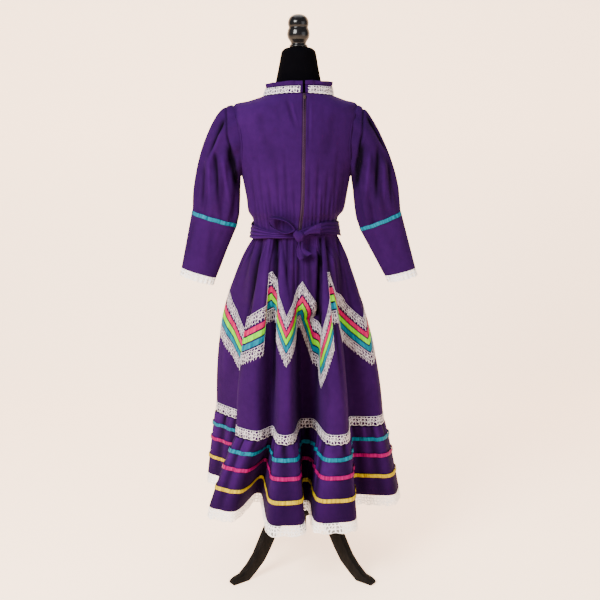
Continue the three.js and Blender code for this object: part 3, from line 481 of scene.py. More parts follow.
# Sections from the collar down: the heights at the side, back and front, the oval's middle, half width and its two
# depths, and how far the shoulder dips between side and middle
sectionKeys = ["sideZ", "backZ", "frontZ", "centreX", "halfWidth", "back", "front", "dip"]
bodiceSections = np.array([
    (1383, 1391, 1372, -3.5, 97, 80, 62, 0),
    (1370.5, 1377.5, 1362, -7, 133, 84, 72, 3),
    (1361, 1362, 1348, -11.5, 167, 89, 82, 13),
    (1330, 1330, 1318, -11.5, 169, 96, 96, 4),
    (1268, 1268, 1262, -11.5, 164, 104, 112, 0),
    (1190, 1190, 1190, -11, 155, 107, 123, 0),
    (1110, 1110, 1110, -11, 141, 103, 110, 0),
    (1068, 1068, 1068, -13, 134, 100, 103, 0),
    (1044, 1044, 1044, -15, 119, 93, 93, 0),
    (1009, 1009, 1009, -15, 115, 89, 89, 0),
], float)
lastSection = len(bodiceSections) - 1


# a cubic from one value to the next with the given slopes at its ends
def hermite(start, end, leave, arrive, t):
    rise = t * t * (3 - 2 * t)
    return start + (end - start) * rise + leave * t * (1 - t) ** 2 - arrive * t ** 2 * (1 - t)


# a smooth line through the sections' values: Hermite pieces with slopes limited to the nearer neighbour's
def sectionAt(place):
    place = np.clip(np.asarray(place, float), 0, lastSection)
    k = np.minimum(np.floor(place).astype(int), lastSection - 1)
    t = (place - k)[..., None]
    step = np.diff(bodiceSections, axis=0)
    slope = np.zeros_like(bodiceSections)
    slope[0], slope[-1] = step[0], step[-1]
    slope[1:-1] = np.where(step[:-1] * step[1:] > 0, 2 * step[:-1] * step[1:] / np.where(
        step[:-1] + step[1:] == 0, 1, step[:-1] + step[1:]), 0)
    values = hermite(bodiceSections[k], bodiceSections[k + 1], slope[k], slope[k + 1], t)
    return {key: values[..., n] for n, key in enumerate(sectionKeys)}


# An oval section, its height blended from the middle's to the side's by the squared sine of the angle
def sectionPoint(section, angle):
    along, out = np.sin(angle), np.cos(angle)
    depth = np.where(out > 0, section["back"], section["front"])
    middleZ = np.where(out > 0, section["backZ"], section["frontZ"])
    z = mix(middleZ, section["sideZ"], along ** 2) - section["dip"] * np.sin(2 * angle) ** 2
    x = section["centreX"] + section["halfWidth"] * along
    return np.stack(np.broadcast_arrays(x, -depth * out, z), -1)


zipLine = {"topX": 12.5, "middleX": 15, "bottomX": -3, "halfWidth": 5, "power": 1.6}


# x of the zip's middle line: a power curve from its top to its foot, bowed to the right by half a sine
def zipX(place):
    t = np.asarray(place, float) / lastSection
    bow = (zipLine["middleX"] - zipLine["topX"]) * np.sin(np.pi * t)
    return mix(zipLine["topX"], zipLine["bottomX"], t ** zipLine["power"]) + bow


# the angle on the section where x is the zip's line plus an offset: the arcsine of x over the half width
def zipAngle(place, offset):
    section = sectionAt(place)
    return np.arcsin((zipX(place) + offset - section["centreX"]) / section["halfWidth"])


# places down the bodice, closer together at the armhole's top and bottom
bodicePlaces = np.sort(np.concatenate([np.linspace(0, lastSection, bodice["rows"]), np.linspace(2.0, 2.6, 9)[1:-1],
                                       np.linspace(5.1, 5.5, 7)[1:-1]]))


# The widest angle of a row that is outside the armhole's oval, measured from the row's middle line
def sideAngles(places, front):
    sweep = np.linspace(0.02, np.pi / 2, 600)
    section = sectionAt(places[:, None])
    points = sectionPoint(section, np.pi - sweep[None] if front else sweep[None])
    inside = ((points[..., 1] / bodice["armholeHalfDepth"]) ** 2
              + ((points[..., 2] - bodice["armholeZ"]) / bodice["armholeHalfHeight"]) ** 2) < 1
    first = np.where(inside.any(1), inside.argmax(1), len(sweep) - 1)
    return sweep[first] - np.where(inside.any(1), 0, bodice["seamGap"])


creaseEnds = (-0.02, 0.22, 0.55, 1.0)


# Creases on a grid: each row of the table is a trough (depth below 0) or ridge along a line from one place
# to another, bell-shaped across, fading in and out at its ends.
def addCreases(across, down, table):
    total = np.zeros(np.broadcast(across, down).shape)
    for place, drift, start, end, halfWidth, depth in table:
        t = (down - start) / (end - start)
        total += depth * bell(across - place - drift * t, halfWidth) * window(t, *creaseEnds)
    return total


# gathers above the sash: x at the waist, how far it leans outward, the height where it ends, half width and depth
waistGathers = [
    (-118, -22, 1215, 5, -1.3), (-106, -20, 1150, 3.6, -1.6), (-96, -24, 1250, 4.4, -1.2), (-85, -16, 1130, 3.2, -1.7),
    (-75, -18, 1200, 4.2, -1.5), (-64, -10, 1120, 3.2, -1.6), (-55, -12, 1235, 4.6, -1.4), (-45, -6, 1140, 3.2, -1.6),
    (-35, -8, 1270, 4.6, -1.4), (-26, -2, 1120, 3.0, -1.4), (-16, -2, 1180, 3.6, -1.2), (13, 2, 1150, 3.4, -1.3),
    (22, 4, 1225, 4.2, -1.4), (32, 4, 1125, 3.2, -1.6), (42, 10, 1245, 4.6, -1.4), (53, 8, 1135, 3.4, -1.7),
    (63, 16, 1215, 4.4, -1.5), (74, 14, 1140, 3.4, -1.7), (84, 22, 1260, 4.8, -1.3), (95, 18, 1160, 3.8, -1.5),
    (104, 24, 1225, 4.6, -1.2), (-90, -14, 1130, 3.0, 1.1), (-50, -6, 1150, 3.2, 1.0), (48, 8, 1150, 3.2, 1.0),
    (80, 14, 1145, 3.4, 1.1), (-110, -18, 1160, 3.4, 1.0),
]
gatherCreases = [(x, lean, 1006, top, halfWidth, depth) for x, lean, top, halfWidth, depth in waistGathers]
# from the collar and shoulders down: x, drift, the two heights, half width and depth
backCreases = gatherCreases + [
    (-36, 26, 1378, 1290, 5, -1.5), (-26, 22, 1378, 1296, 4, 1.2), (-62, 12, 1372, 1300, 7, -0.6),
    (5, 4, 1345, 1150, 3.5, -1.4), (24, -3, 1380, 1220, 3.5, -1.3), (31, -2, 1376, 1240, 4, 0.7),
    (-112, 30, 1352, 1200, 12, -0.8), (96, -24, 1350, 1195, 12, -1.0), (-84, 22, 1290, 1130, 14, -0.6),
    (70, -22, 1290, 1120, 14, -0.7), (60, 10, 1366, 1270, 9, -0.6),
]
frontCreases = gatherCreases + [
    (-96, 30, 1340, 1200, 13, -0.9), (86, -28, 1340, 1200, 13, -0.9), (-60, 24, 1280, 1130, 14, -0.7),
    (52, -20, 1270, 1130, 14, -0.7),
]


# the cloth beside an armhole stands out a little to meet the gathered sleeve
def armholeRise(points):
    out = np.hypot(points[..., 1] / bodice["armholeHalfDepth"],
                   (points[..., 2] - bodice["armholeZ"]) / bodice["armholeHalfHeight"])
    beside = np.where(np.abs(points[..., 0] - bodice["middleX"]) > bodice["middleHalf"], 1 - ease(out, 1.0, 1.55), 0)
    return bodice["armholeRise"] * beside * window(points[..., 2], *bodice["riseHeights"])


# a panel between two angles of each section, moved out along its normal by its creases and the armhole's rise
def bodicePanel(name, startAngle, endAngle, creases, flat, area):
    span = np.linspace(0, 1, bodice["columns"])
    angle = mix(startAngle[:, None], endAngle[:, None], span[None])
    points = sectionPoint(sectionAt(bodicePlaces[:, None]), angle)
    # the creases move the cloth and also paint shade in their troughs and light on their ridges through the fold
    # attribute
    fold = bodice["creaseDepth"] * addCreases(points[..., 0], points[..., 2], creases)
    fold *= window(bodicePlaces, *bodice["creaseRows"])[:, None]
    fold *= ease(2 * np.minimum(span, 1 - span), 0.0, bodice["edgeShare"])
    points = points + normalsOf(points, False) * (fold + armholeRise(points))[..., None]
    makeCloth(name, "bodice", points, "hung", ["form_torso"], flat, area, fold=fold)


zipLeft, zipRight = [zipAngle(bodicePlaces, side * zipLine["halfWidth"]) for side in (-1, 1)]
backSide, frontSide = sideAngles(bodicePlaces, False), sideAngles(bodicePlaces, True)
bodicePanel("bodice_back_left", -backSide, zipLeft, backCreases, (0.25, 0.385), 0.077)
bodicePanel("bodice_back_right", zipRight, backSide, backCreases, (0.21, 0.385), 0.062)
bodicePanel("bodice_front", np.pi - frontSide, np.pi + frontSide, frontCreases, (0.46, 0.375), 0.144)

zipper = {"tapeHalf": 4.4, "ridge": 0.9, "ridgeHalf": 1.6, "sink": 0.5, "turns": 170, "perTurn": 10, "sides": 6,
          "coilHalf": 1.7, "coilLift": 1.5, "coilHeight": 0.8, "wire": 0.32}


# the zip: a tape with a ridge down its middle, and a coil worked as a winding thread along that ridge
def zipPieces():
    places = np.linspace(0, lastSection, 150)
    offsets = np.linspace(-zipper["tapeHalf"], zipper["tapeHalf"], 13)
    points = sectionPoint(sectionAt(places[:, None]), zipAngle(places[:, None], offsets[None]))
    ridge = zipper["ridge"] * bell(offsets, zipper["ridgeHalf"]) - zipper["sink"]
    points += normalsOf(points, False) * ridge[None, :, None]
    makeCloth("zip_tape", "tape", points, "hung", ["bodice_back_left", "bodice_back_right"], (0.01, 0.385))
    steps = zipper["turns"] * zipper["perTurn"]
    place = np.linspace(0.1, lastSection - 0.05, steps)
    spin = np.linspace(0, 2 * np.pi * zipper["turns"], steps)
    centre = sectionPoint(sectionAt(place), zipAngle(place, zipper["coilHalf"] * np.cos(spin)))
    centre[:, 1] -= zipper["coilLift"] + zipper["coilHeight"] * np.sin(spin)
    ahead = unitOf(np.gradient(centre, axis=0))
    sideways = unitOf(np.cross(ahead, [0, 1, 0]))
    upward = np.cross(sideways, ahead)
    ring = (np.arange(zipper["sides"]) * 2 * np.pi / zipper["sides"])[None, :, None]
    tube = centre[:, None] + zipper["wire"] * (sideways[:, None] * np.cos(ring) + upward[:, None] * np.sin(ring))
    coil = makeSheet("zip_coil", tube[:, ::-1], True)
    finishPiece(coil, None, "zip_tape", zipCoilPlastic)


zipPieces()
print("bodice made")

collarFoot = dict(zip(sectionKeys, (1384.8, 1392.9, 1373.8, -3.5, 96, 79.5, 61.5, 0)))
collarTop = dict(zip(sectionKeys, (1405, 1412, 1395, -1.5, 91, 76, 58, 0)))
collar = {"openingX": 12, "clothHalf": 3.5, "laceHalf": 10.5, "lean": 4, "laceLift": 2.2, "scallop": 13,
          "scallopDepth": 1.6, "frillHeight": 11, "frillWaves": 24, "frillRows": 9, "frillPerWave": 12,
          "frillFoot": 0.8, "frillHead": 2.3, "frillLift": 1.2}


# rows from the collar's top down, between two shares of its height; half is half the opening over the zip
def collarPoints(half, columns, rows, low=1.0, high=0.0):
    share = np.linspace(high, low, rows)[:, None]
    middle = {key: mix(collarTop[key], collarFoot[key], share) for key in collarTop}
    start, end = [np.arcsin((collar["openingX"] + side * half - middle["centreX"]) / middle["halfWidth"])
                  for side in (1, -1)]
    angle = mix(start, end + 2 * np.pi, np.linspace(0, 1, columns)[None])
    points = sectionPoint(middle, angle)
    points[..., 2] += collar["lean"] * np.maximum(np.sin(angle), 0) * (1 - share)
    return points


# the lace's lower edge is scalloped, and its lower half stands off the cloth in small waves
def collarLacePoints():
    points = collarPoints(collar["laceHalf"], 560, 9, 1.0, 0.1)
    normal = normalsOf(points, False)
    length = distanceAlong(points, 1)[0]
    share = np.linspace(0, 1, 9)[:, None]
    scallop = np.abs(np.sin(np.pi * length / collar["scallop"])) - 0.6
    points[..., 2] -= scallop[None] * collar["scallopDepth"] * share ** 3
    return points + normal * (collar["laceLift"] + 0.35 * np.sin(length / 5.1)[None, :, None] * share[..., None])


# box pleats: a squared sine wave in and out along the collar's upper edge, wider at the top
def frillPoints():
    columns = collar["frillWaves"] * collar["frillPerWave"] + 1
    edge = collarPoints(collar["clothHalf"], columns, 2)
    base = np.repeat(edge[:1], collar["frillRows"], 0)
    share = np.linspace(0, 1, collar["frillRows"])[:, None]
    wave = np.linspace(0, collar["frillWaves"], columns)
    box = np.tanh(2.6 * np.sin(np.pi * wave)) * (1 + 0.22 * np.sin(1.7 * wave))
    out = unitOf((base - [collarTop["centreX"], 0, 0]) * [1, 1, 0])
    base += out * (box[None] * mix(collar["frillHead"], collar["frillFoot"], share))[..., None]
    base[..., 2] += collar["frillLift"] + (collar["frillHeight"] + 0.6 * np.sin(2.3 * wave)[None]) * (1 - share)
    return base


makeCloth("collar_stand", "skirt", collarPoints(collar["clothHalf"], 220, 10), "hung",
          ["bodice_back_left", "bodice_back_right", "bodice_front"], (0.50, 0.02))
makeCloth("collar_lace", "collarLace", collarLacePoints(), "hung", ["collar_stand"], (0.49, 0.018))
makeCloth("collar_frill", "frill", frillPoints(), "gathered", ["collar_stand"], (0.62, 0.012))
print("collar made")

# cubic curves down a sleeve's two outlines, in x and z, and the two ends of its cuff
sleeveLines = {
    "left": {
        "outer": [(-178, 1353.5), (-248, 1366), (-300, 1190), (-307, 1064)],
        "inner": [(-168, 1171.5), (-172, 1140), (-168, 1085), (-181, 1026)],
        "cuffOuter": (-341, 906), "cuffInner": (-244, 876),
    },
    "right": {
        "outer": [(155, 1353.5), (206, 1347), (277, 1190), (285, 1057)],
        "inner": [(144.5, 1171.5), (150, 1140), (148, 1075), (169, 1012)],
        "cuffOuter": (327, 900), "cuffInner": (241, 878),
    },
}
# shade is painted shade taken off a whole sleeve's colour, more on the right
sleeve = {"depth": (47.1, 60, 52, 33), "cuffDepth": 26, "ribbonHalf": 5.5, "ribbonLift": 3.4, "laceDrop": 23,
          "laceGap": 0.4, "rootReach": 0.5, "rootFollow": 0.88, "puff": 4.5, "puffShares": (0.0, 0.05, 0.1, 0.45),
          "creaseShares": (0.01, 0.08, 0.93, 1.0), "capRows": ((1.06, 1.0), (1.02, 2.0), (0.99, 3.4)), "skippedRows": 3,
          "pleatAt": (0, 0.07, 0.2, 0.4, 0.62, 0.84, 1), "pleat": (0, 1, 2.5, 2, 2.5, 4, 0.6), "pleats": 10,
          "columns": 200, "rows": 68, "lowerRows": 36, "laceColumns": 480, "shade": {"left": 1.6, "right": 2.8}}
# gathers that rise from the ribbon, and others that fall from the cap
sleeveGathers = [
    {"rises": True, "count": 26, "width": (0.07, 0.14), "reach": (0.45, 0.86), "depth": (-2.6, -0.8)},
    {"rises": False, "count": 14, "width": (0.10, 0.2), "reach": (0.2, 0.5), "depth": (-2.8, -1.0)},
]


# even angles round a closed ring, as one row
def columnsRound(count):
    return (np.arange(count) * 2 * np.pi / count)[None]


# how far an angle is past a place, between half a turn back and half a turn on
def turnBetween(angle, place):
    return (angle - place + np.pi) % (2 * np.pi) - np.pi


# a cubic curve from four control points
def bezier(points, t):
    points, t = np.asarray(points, float), np.asarray(t, float)[..., None]
    s = 1 - t
    return s ** 3 * points[0] + 3 * s * s * t * points[1] + 3 * s * t * t * points[2] + t ** 3 * points[3]


# where the bodice's side lies at a depth y and height z
def armholeX(y, z, right):
    heights, centres, widths, backs, fronts = bodiceSections[::-1, [0, 3, 4, 5, 6]].T
    width, centre = np.interp(z, heights, widths), np.interp(z, heights, centres)
    depth = np.where(y < 0, np.interp(z, heights, backs), np.interp(z, heights, fronts))
    return centre + (1 if right else -1) * width * np.sqrt(np.maximum(1 - (y / depth) ** 2, 0))


# A ring between an outer and an inner line: cosine across, sine deep, with the gathers as a swell of both
def sleeveRing(outer, inner, depth, angle, swell, right, root=0.0):
    across = 0.5 + 0.5 * np.cos(angle) * (1 + swell / 65)
    z = mix(inner[..., 1], outer[..., 1], across)
    y = (depth + swell) * np.sin(angle) * (1 if right else -1)
    pull = (armholeX(y, z, right) - armholeX(0, z, right)) * sleeve["rootFollow"] * root
    return np.stack([mix(inner[..., 0], outer[..., 0], across) + pull, y, z], -1)


# a ring on the bodice round its armhole, lifted off it
def armholeRing(angle, scale, lift, right):
    y = bodice["armholeHalfDepth"] * scale * np.sin(angle) * (1 if right else -1)
    z = bodice["armholeZ"] + bodice["armholeHalfHeight"] * scale * np.cos(angle)
    rise = bodice["armholeRise"] * window(z, *bodice["riseHeights"]) * np.abs(np.sin(angle))
    x = armholeX(y, np.minimum(z, 1360.5), right) + (1 if right else -1) * (lift + 0.7 * rise)
    y = y * (1 + (0.7 * rise + 0.5 * lift) / bodice["armholeHalfDepth"])
    return np.stack([x, y, z + 0.5 * lift * np.cos(angle)], -1)


# gathers: even pleats round the sleeve, and uneven troughs over them
def sleeveSwell(t, angle, seed):
    rng = np.random.default_rng(seed)
    total = -np.interp(t, sleeve["pleatAt"], sleeve["pleat"]) * np.cos(sleeve["pleats"] * angle)
    for kind in sleeveGathers:
        for k in range(kind["count"]):
            place, width = rng.uniform(0, 2 * np.pi), rng.uniform(*kind["width"])
            reach, depth = rng.uniform(*kind["reach"]), rng.uniform(*kind["depth"])
            lean = (0.25 * (1 - t) if kind["rises"] else 0.5 * t) * rng.uniform(-1, 1)
            fade = window(t, reach, 0.97, 0.985, 1.0) if kind["rises"] else window(t, 0.01, 0.08, 0.5 * reach, reach)
            total = total + depth * bell(turnBetween(angle, place) - lean, width) * fade
    return total


# creases of a sleeve in x and z, x measured outward from the pole; its front has them fainter
sleeveCreases = {
    "left": [
        (206, 52, 1330, 1210, 6, -9), (198, -30, 1262, 1110, 9, -10), (236, -10, 1250, 1075, 6, -6),
        (266, 8, 1205, 1065, 5, -4), (216, 40, 1300, 1190, 7, 4), (214, -16, 1230, 1080, 6, 4),
        (252, 0, 1215, 1070, 5, 3), (205, -8, 1375, 1240, 3, -4), (203, -37, 1290, 1150, 3, -5),
    ],
    "right": [
        (184, 62, 1336, 1215, 6, -9), (172, -22, 1262, 1110, 8, -9), (216, -6, 1255, 1075, 6, -6),
        (246, 10, 1215, 1065, 5, -4), (198, 48, 1306, 1200, 7, 4), (192, -12, 1240, 1080, 6, 4),
        (232, 2, 1220, 1070, 5, 3), (178, -10, 1375, 1240, 3, -4), (172, -26, 1290, 1150, 3, -5),
    ],
}


# the upper sleeve: rings on the armhole, then rings between the two outlines with gathers and creases
def upperSleeve(side, seed):
    right, line, angle = side == "right", sleeveLines[side], columnsRound(sleeve["columns"])
    t = np.linspace(0, 1, sleeve["rows"])[:, None]
    root = np.where(t < sleeve["rootReach"], (1 - t / sleeve["rootReach"]) ** 2, 0)
    depth = bezier(np.array(sleeve["depth"])[:, None], t[:, 0])[..., :1]
    outer, inner = [bezier(line[key], t[:, 0])[:, None] for key in ("outer", "inner")]
    swell = sleeve["puff"] * window(t, *sleeve["puffShares"]) + sleeveSwell(t, angle, seed)
    points = sleeveRing(outer, inner, depth, angle, swell, right, root)
    fold = addCreases(np.abs(points[..., 0]), points[..., 2], sleeveCreases[side])
    fold *= mix(0.35, 1.0, ease(-points[..., 1], -15, 15)) * window(t, *sleeve["creaseShares"])
    points = points + normalsOf(points, True) * fold[..., None]
    cap = [armholeRing(angle, scale, lift, right)[0] for scale, lift in sleeve["capRows"]]
    points = np.concatenate([np.stack(cap), points[sleeve["skippedRows"]:]])
    fold = np.concatenate([np.zeros((len(cap), sleeve["columns"])), fold[sleeve["skippedRows"]:]])
    # painted shade: the creases darken the sleeve's colour, and the whole sleeve is darkened by its shade, the right
    # more than the left
    return points, 1.3 * fold - sleeve["shade"][side]


# soft slanting troughs down the lower sleeve
def lowerSleeveSwell(down, length, angle, seed):
    rng = np.random.default_rng(seed)
    swell = np.zeros((len(down), sleeve["columns"]))
    for k in range(9):
        place, slant = rng.uniform(0, 2 * np.pi), rng.uniform(-0.5, 0.5)
        away = turnBetween(angle, place + slant * down / length)
        swell += rng.uniform(-1.6, -0.5) * bell(away, rng.uniform(0.12, 0.3))
    return swell * window(down / length, 0.02, 0.2, 0.5, 0.95)


# upper and lower sleeve, the ribbon over their seam and the lace below the cuff
def makeSleeve(side, seed):
    line, angle = sleeveLines[side], columnsRound(sleeve["columns"])
    points, fold = upperSleeve(side, seed)
    upperPiece = makeCloth(f"upper_sleeve_{side}", "bodice", points, "gathered",
                           ["bodice_back_" + side, "bodice_front"], (0.40, 0.36), 0.093, closed=True, fold=fold)
    elbow = [np.array(line[key][3], float) for key in ("outer", "inner")]
    cuff = [np.array(line[key], float) for key in ("cuffOuter", "cuffInner")]
    length = np.hypot(*(cuff[0] - elbow[0]))

    def lowerRows(distance, flare, swell, turn):
        share = distance / length
        depth = mix(sleeve["depth"][3], sleeve["cuffDepth"], np.minimum(share, 1)) + flare
        outer, inner = [mix(elbow[k], cuff[k], share[..., None]) for k in (0, 1)]
        return sleeveRing(outer, inner, depth, turn, swell, side == "right")

    down = np.linspace(0.4, length, sleeve["lowerRows"])[:, None]
    swell = lowerSleeveSwell(down, length, angle, seed + 1)
    # painted shade: the lower sleeve is darker in its troughs and darkened overall by a share of the sleeve's shade
    lowerPiece = makeCloth(f"lower_sleeve_{side}", "bodice", lowerRows(down, 0, swell, angle), "hung", [upperPiece],
                           (0.30, 0.165), 0.042, closed=True, fold=1.5 * swell - 0.3 * sleeve["shade"][side])

    ribbonDown = np.linspace(-sleeve["ribbonHalf"], sleeve["ribbonHalf"], 9)[:, None]
    pucker = 0.5 * np.sin(23 * angle + seed) + 0.35 * np.sin(41 * angle + 2.1)
    ribbonPoints = lowerRows(ribbonDown, sleeve["ribbonLift"], pucker * np.ones((9, 1)), angle)
    ribbonPoints[..., 2] += 0.5 * np.sin(9 * angle + seed)
    makeCloth(f"sleeve_ribbon_{side}", "turquoise", ribbonPoints, "gathered", [upperPiece, lowerPiece], (0.30, 0.011),
              closed=True)

    fine = columnsRound(sleeve["laceColumns"])
    share = np.linspace(0, 1, 13)[:, None]
    gather = (0.5 + 0.5 * np.cos(20 * fine + 0.6 * np.sin(3 * fine))) * mix(0.8, 3.4, share)
    edge = 1.6 * (np.abs(np.sin(12 * fine)) - 0.6) * share ** 3
    laceDown = length + sleeve["laceGap"] + (sleeve["laceDrop"] - sleeve["laceGap"]) * share + edge
    makeCloth(f"cuff_lace_{side}", "hemLace", lowerRows(laceDown, 0.5 + 2.6 * share, gather - 1, fine), "gathered",
              [lowerPiece], (0.30, 0.024), closed=True)


makeSleeve("left", 11)
makeSleeve("right", 23)
print("sleeves made")

skirt = {"top": 1008, "bottom": 431, "laceTop": 460, "waistX": -15, "waistHalfWidth": 113, "waistHalfDepth": 87,
         "hipHalfWidth": 139, "hipHalfDepth": 106, "waistSlack": 12, "hipSharpness": 16, "formBottom": 850,
         "frontFolds": 5, "flarePower": (1.7, 2.7), "columnGap": 5.3, "rows": 90, "shadeDepth": 3.4, "shadeHalf": 1.1,
         "shadeDown": (10, 160)}
# each fold has a crest and a valley: degrees round the waist, a lift of its lower edge, and at the seam and the hem
# a place in plan with half a width
backFolds = [
    {"waistCrest": -72, "waistValley": -47, "lift": 20, "seamCrest": (-252, 110, 28), "seamValley": (-150, -38, 10),
     "hemCrest": (-280, 150, 36), "hemValley": (-190, 30, 12)},
    {"waistCrest": -36, "waistValley": -25, "lift": 0, "seamCrest": (-163, -118, 40), "seamValley": (-84, -94, 6),
     "hemCrest": (-240, -118, 42), "hemValley": (-133, 5, 9)},
    {"waistCrest": -10, "waistValley": 20, "lift": 0, "seamCrest": (-47, -176, 17), "seamValley": (13, -27, 19),
     "hemCrest": (-45, -230, 42), "hemValley": (8, -50, 10)},
    {"waistCrest": 40, "waistValley": 50, "lift": 0, "seamCrest": (100, -178, 24), "seamValley": (136, -28, 7),
     "hemCrest": (92, -212, 52), "hemValley": (152, -30, 9)},
    {"waistCrest": 80, "waistValley": 103, "lift": 6, "seamCrest": (238, 5, 36), "seamValley": (158, 66, 9),
     "hemCrest": (285, 5, 45), "hemValley": (182, 88, 11)},
]
frontShape = {"centreY": 20, "seamCrest": 240, "seamValley": 172, "seamHalf": 26, "hemCrest": 287, "hemValley": 196,
              "hemHalf": 36, "valleyHalf": 12, "from": 92, "to": 252, "waistStep": 30.5}


# a front fold: crest and valley on circles round the front's centre, evenly spaced and made uneven by a sine
def frontFold(k):
    step = (frontShape["to"] - frontShape["from"]) / (skirt["frontFolds"] + 1)
    angle = frontShape["from"] + step * (k + 1)
    uneven = 8 * math.sin(2.3 * k + 1)

    def place(radius, degrees, half):
        turn = math.radians(degrees)
        return (radius * math.sin(turn), frontShape["centreY"] - radius * math.cos(turn), half)

    waist = frontShape["from"] + frontShape["waistStep"] * (k + 1)
    return {
        "waistCrest": waist - 6, "waistValley": waist + 10, "lift": 4 + uneven / 2,
        "seamCrest": place(frontShape["seamCrest"] + uneven, angle, frontShape["seamHalf"]),
        "seamValley": place(frontShape["seamValley"] - uneven, angle + step / 2, frontShape["valleyHalf"]),
        "hemCrest": place(frontShape["hemCrest"] + uneven, angle, frontShape["hemHalf"]),
        "hemValley": place(frontShape["hemValley"] - uneven, angle + step / 2, frontShape["valleyHalf"]),
    }


folds = backFolds + [frontFold(k) for k in range(skirt["frontFolds"])]
perFold = 6
skirtColumns = len(folds) * perFold


# three plan points a turn, its middle one pushed out on a crest and in on a valley
def foldRing(crestKey, valleyKey):
    turns = np.array([fold[key] for fold in folds for key in (crestKey, valleyKey)], float)
    here, half = turns[:, :2], turns[:, 2:]
    arriving, leaving = here - np.roll(here, 1, 0), np.roll(here, -1, 0) - here
    along = unitOf(unitOf(arriving) + unitOf(leaving))
    outward = np.where(np.arange(len(turns))[:, None] % 2, -4.0, 9.0)
    inward = np.stack([-along[:, 1], along[:, 0]], 1) * outward
    ring = np.stack([here - along * half + inward, here, here + along * half + inward], 1)
    return ring.reshape(-1, 2)


# the waist in plan: six places a fold on an oval, a few millimetres out on the gathers
def makeWaistRing():
    rows = []
    for k, fold in enumerate(folds):
        crest, valley = fold["waistCrest"], fold["waistValley"]
        following = folds[(k + 1) % len(folds)]["waistCrest"] + (360 if k == len(folds) - 1 else 0)
        third = (following - crest) / 6
        angles = np.radians([crest - third * 0.5, crest, crest + third * 0.5,
                             mix(crest + third * 0.5, valley, 0.6), valley, mix(valley, following, 0.35)])
        gather = np.array([3, 4, 3, 0, -1, 0])
        rows.append(np.stack([skirt["waistX"] + (skirt["waistHalfWidth"] + gather) * np.sin(angles),
                              -(skirt["waistHalfDepth"] + gather) * np.cos(angles)], 1))
    return np.concatenate(rows)


# a closed curve through a ring's points: cubic pieces whose slopes allow for the square root of each gap
def curveThrough(ring):
    before, here, after, later = np.roll(ring, 1, 0), ring, np.roll(ring, -1, 0), np.roll(ring, -2, 0)
    gap = [np.sqrt(np.linalg.norm(b - a, axis=1, keepdims=True))
           for a, b in ((before, here), (here, after), (after, later))]
    leave = ((here - before) / gap[0] - (after - before) / (gap[0] + gap[1]) + (after - here) / gap[1]) * gap[1]
    arrive = ((after - here) / gap[1] - (later - here) / (gap[1] + gap[2]) + (later - after) / gap[2]) * gap[1]
    parts = [here, leave, -3 * here + 3 * after - 2 * leave - arrive, 2 * here - 2 * after + leave + arrive]

    def at(column):
        column = np.asarray(column, float) % len(ring)
        k = np.minimum(np.floor(column).astype(int), len(ring) - 1)
        t = (column - k)[..., None]
        return parts[0][k] + parts[1][k] * t + parts[2][k] * t ** 2 + parts[3][k] * t ** 3

    return at


waistCurve = curveThrough(makeWaistRing())
seamCurve, hemCurve = curveThrough(foldRing("seamCrest", "seamValley")), curveThrough(foldRing("hemCrest", "hemValley"))
columnLift = np.concatenate([
    mix(fold["lift"], folds[(k + 1) % len(folds)]["lift"], np.maximum(np.arange(perFold) - 2, 0) / 4)
    for k, fold in enumerate(folds)
])


# how far a fold's lower edge is lifted, between the columns' values
def liftAt(column):
    lifts = np.append(columnLift, columnLift[0])
    return np.interp(np.asarray(column) % skirtColumns, np.arange(skirtColumns + 1), lifts)


# from its waist place a point moves to its lower place, fast at first; near the hips it is pushed clear of the form
def skirtPoint(column, z):
    column, z = np.broadcast_arrays(np.asarray(column, float), np.asarray(z, float))
    waist = waistCurve(column)
    leftward = np.clip((skirt["waistX"] - waist[..., 0]) / skirt["waistHalfWidth"], 0, None)
    power = mix(*skirt["flarePower"], leftward ** 2)
    share = 1 - (np.clip(z - skirt["bottom"], 0, None) / (skirt["top"] - skirt["bottom"])) ** power
    at = mix(waist, seamCurve(column), share[..., None])
    fade = ease(z, skirt["formBottom"] - 140, skirt["formBottom"] - 30)
    start = ease(skirt["top"] - z, 0, 90)
    halfWidth, halfDepth = [
        np.maximum(mix(skirt["waistHalf" + way] - skirt["waistSlack"], skirt["hipHalf" + way], start) * fade, 1)
        for way in ("Width", "Depth")
    ]
    dx = at[..., 0] - skirt["waistX"]
    reach = np.maximum(np.hypot(dx / halfWidth, at[..., 1] / halfDepth), 1e-6)
    sharp = skirt["hipSharpness"]
    push = np.where(reach < 3, (np.minimum(reach, 3) ** sharp + 1) ** (1 / sharp) / np.minimum(reach, 3), 1)
    return np.stack([skirt["waistX"] + dx * push, at[..., 1] * push, z], -1)


# length of cloth round the skirt, measured along the lower seam
fineColumns = np.linspace(0, skirtColumns, 6001)
clothReach = np.concatenate([[0], np.cumsum(np.linalg.norm(np.diff(seamCurve(fineColumns), axis=0), axis=1))])
skirtRound = clothReach[-1]


# millimetres of cloth round to a column, and the column at that many millimetres
def reachAt(column):
    turns = np.floor(np.asarray(column, float) / skirtColumns)
    return np.interp(np.asarray(column, float) - turns * skirtColumns, fineColumns, clothReach) + turns * skirtRound


def columnAt(reach):
    turns = np.floor(np.asarray(reach, float) / skirtRound)
    return np.interp(np.asarray(reach, float) - turns * skirtRound, clothReach, fineColumns) + turns * skirtColumns


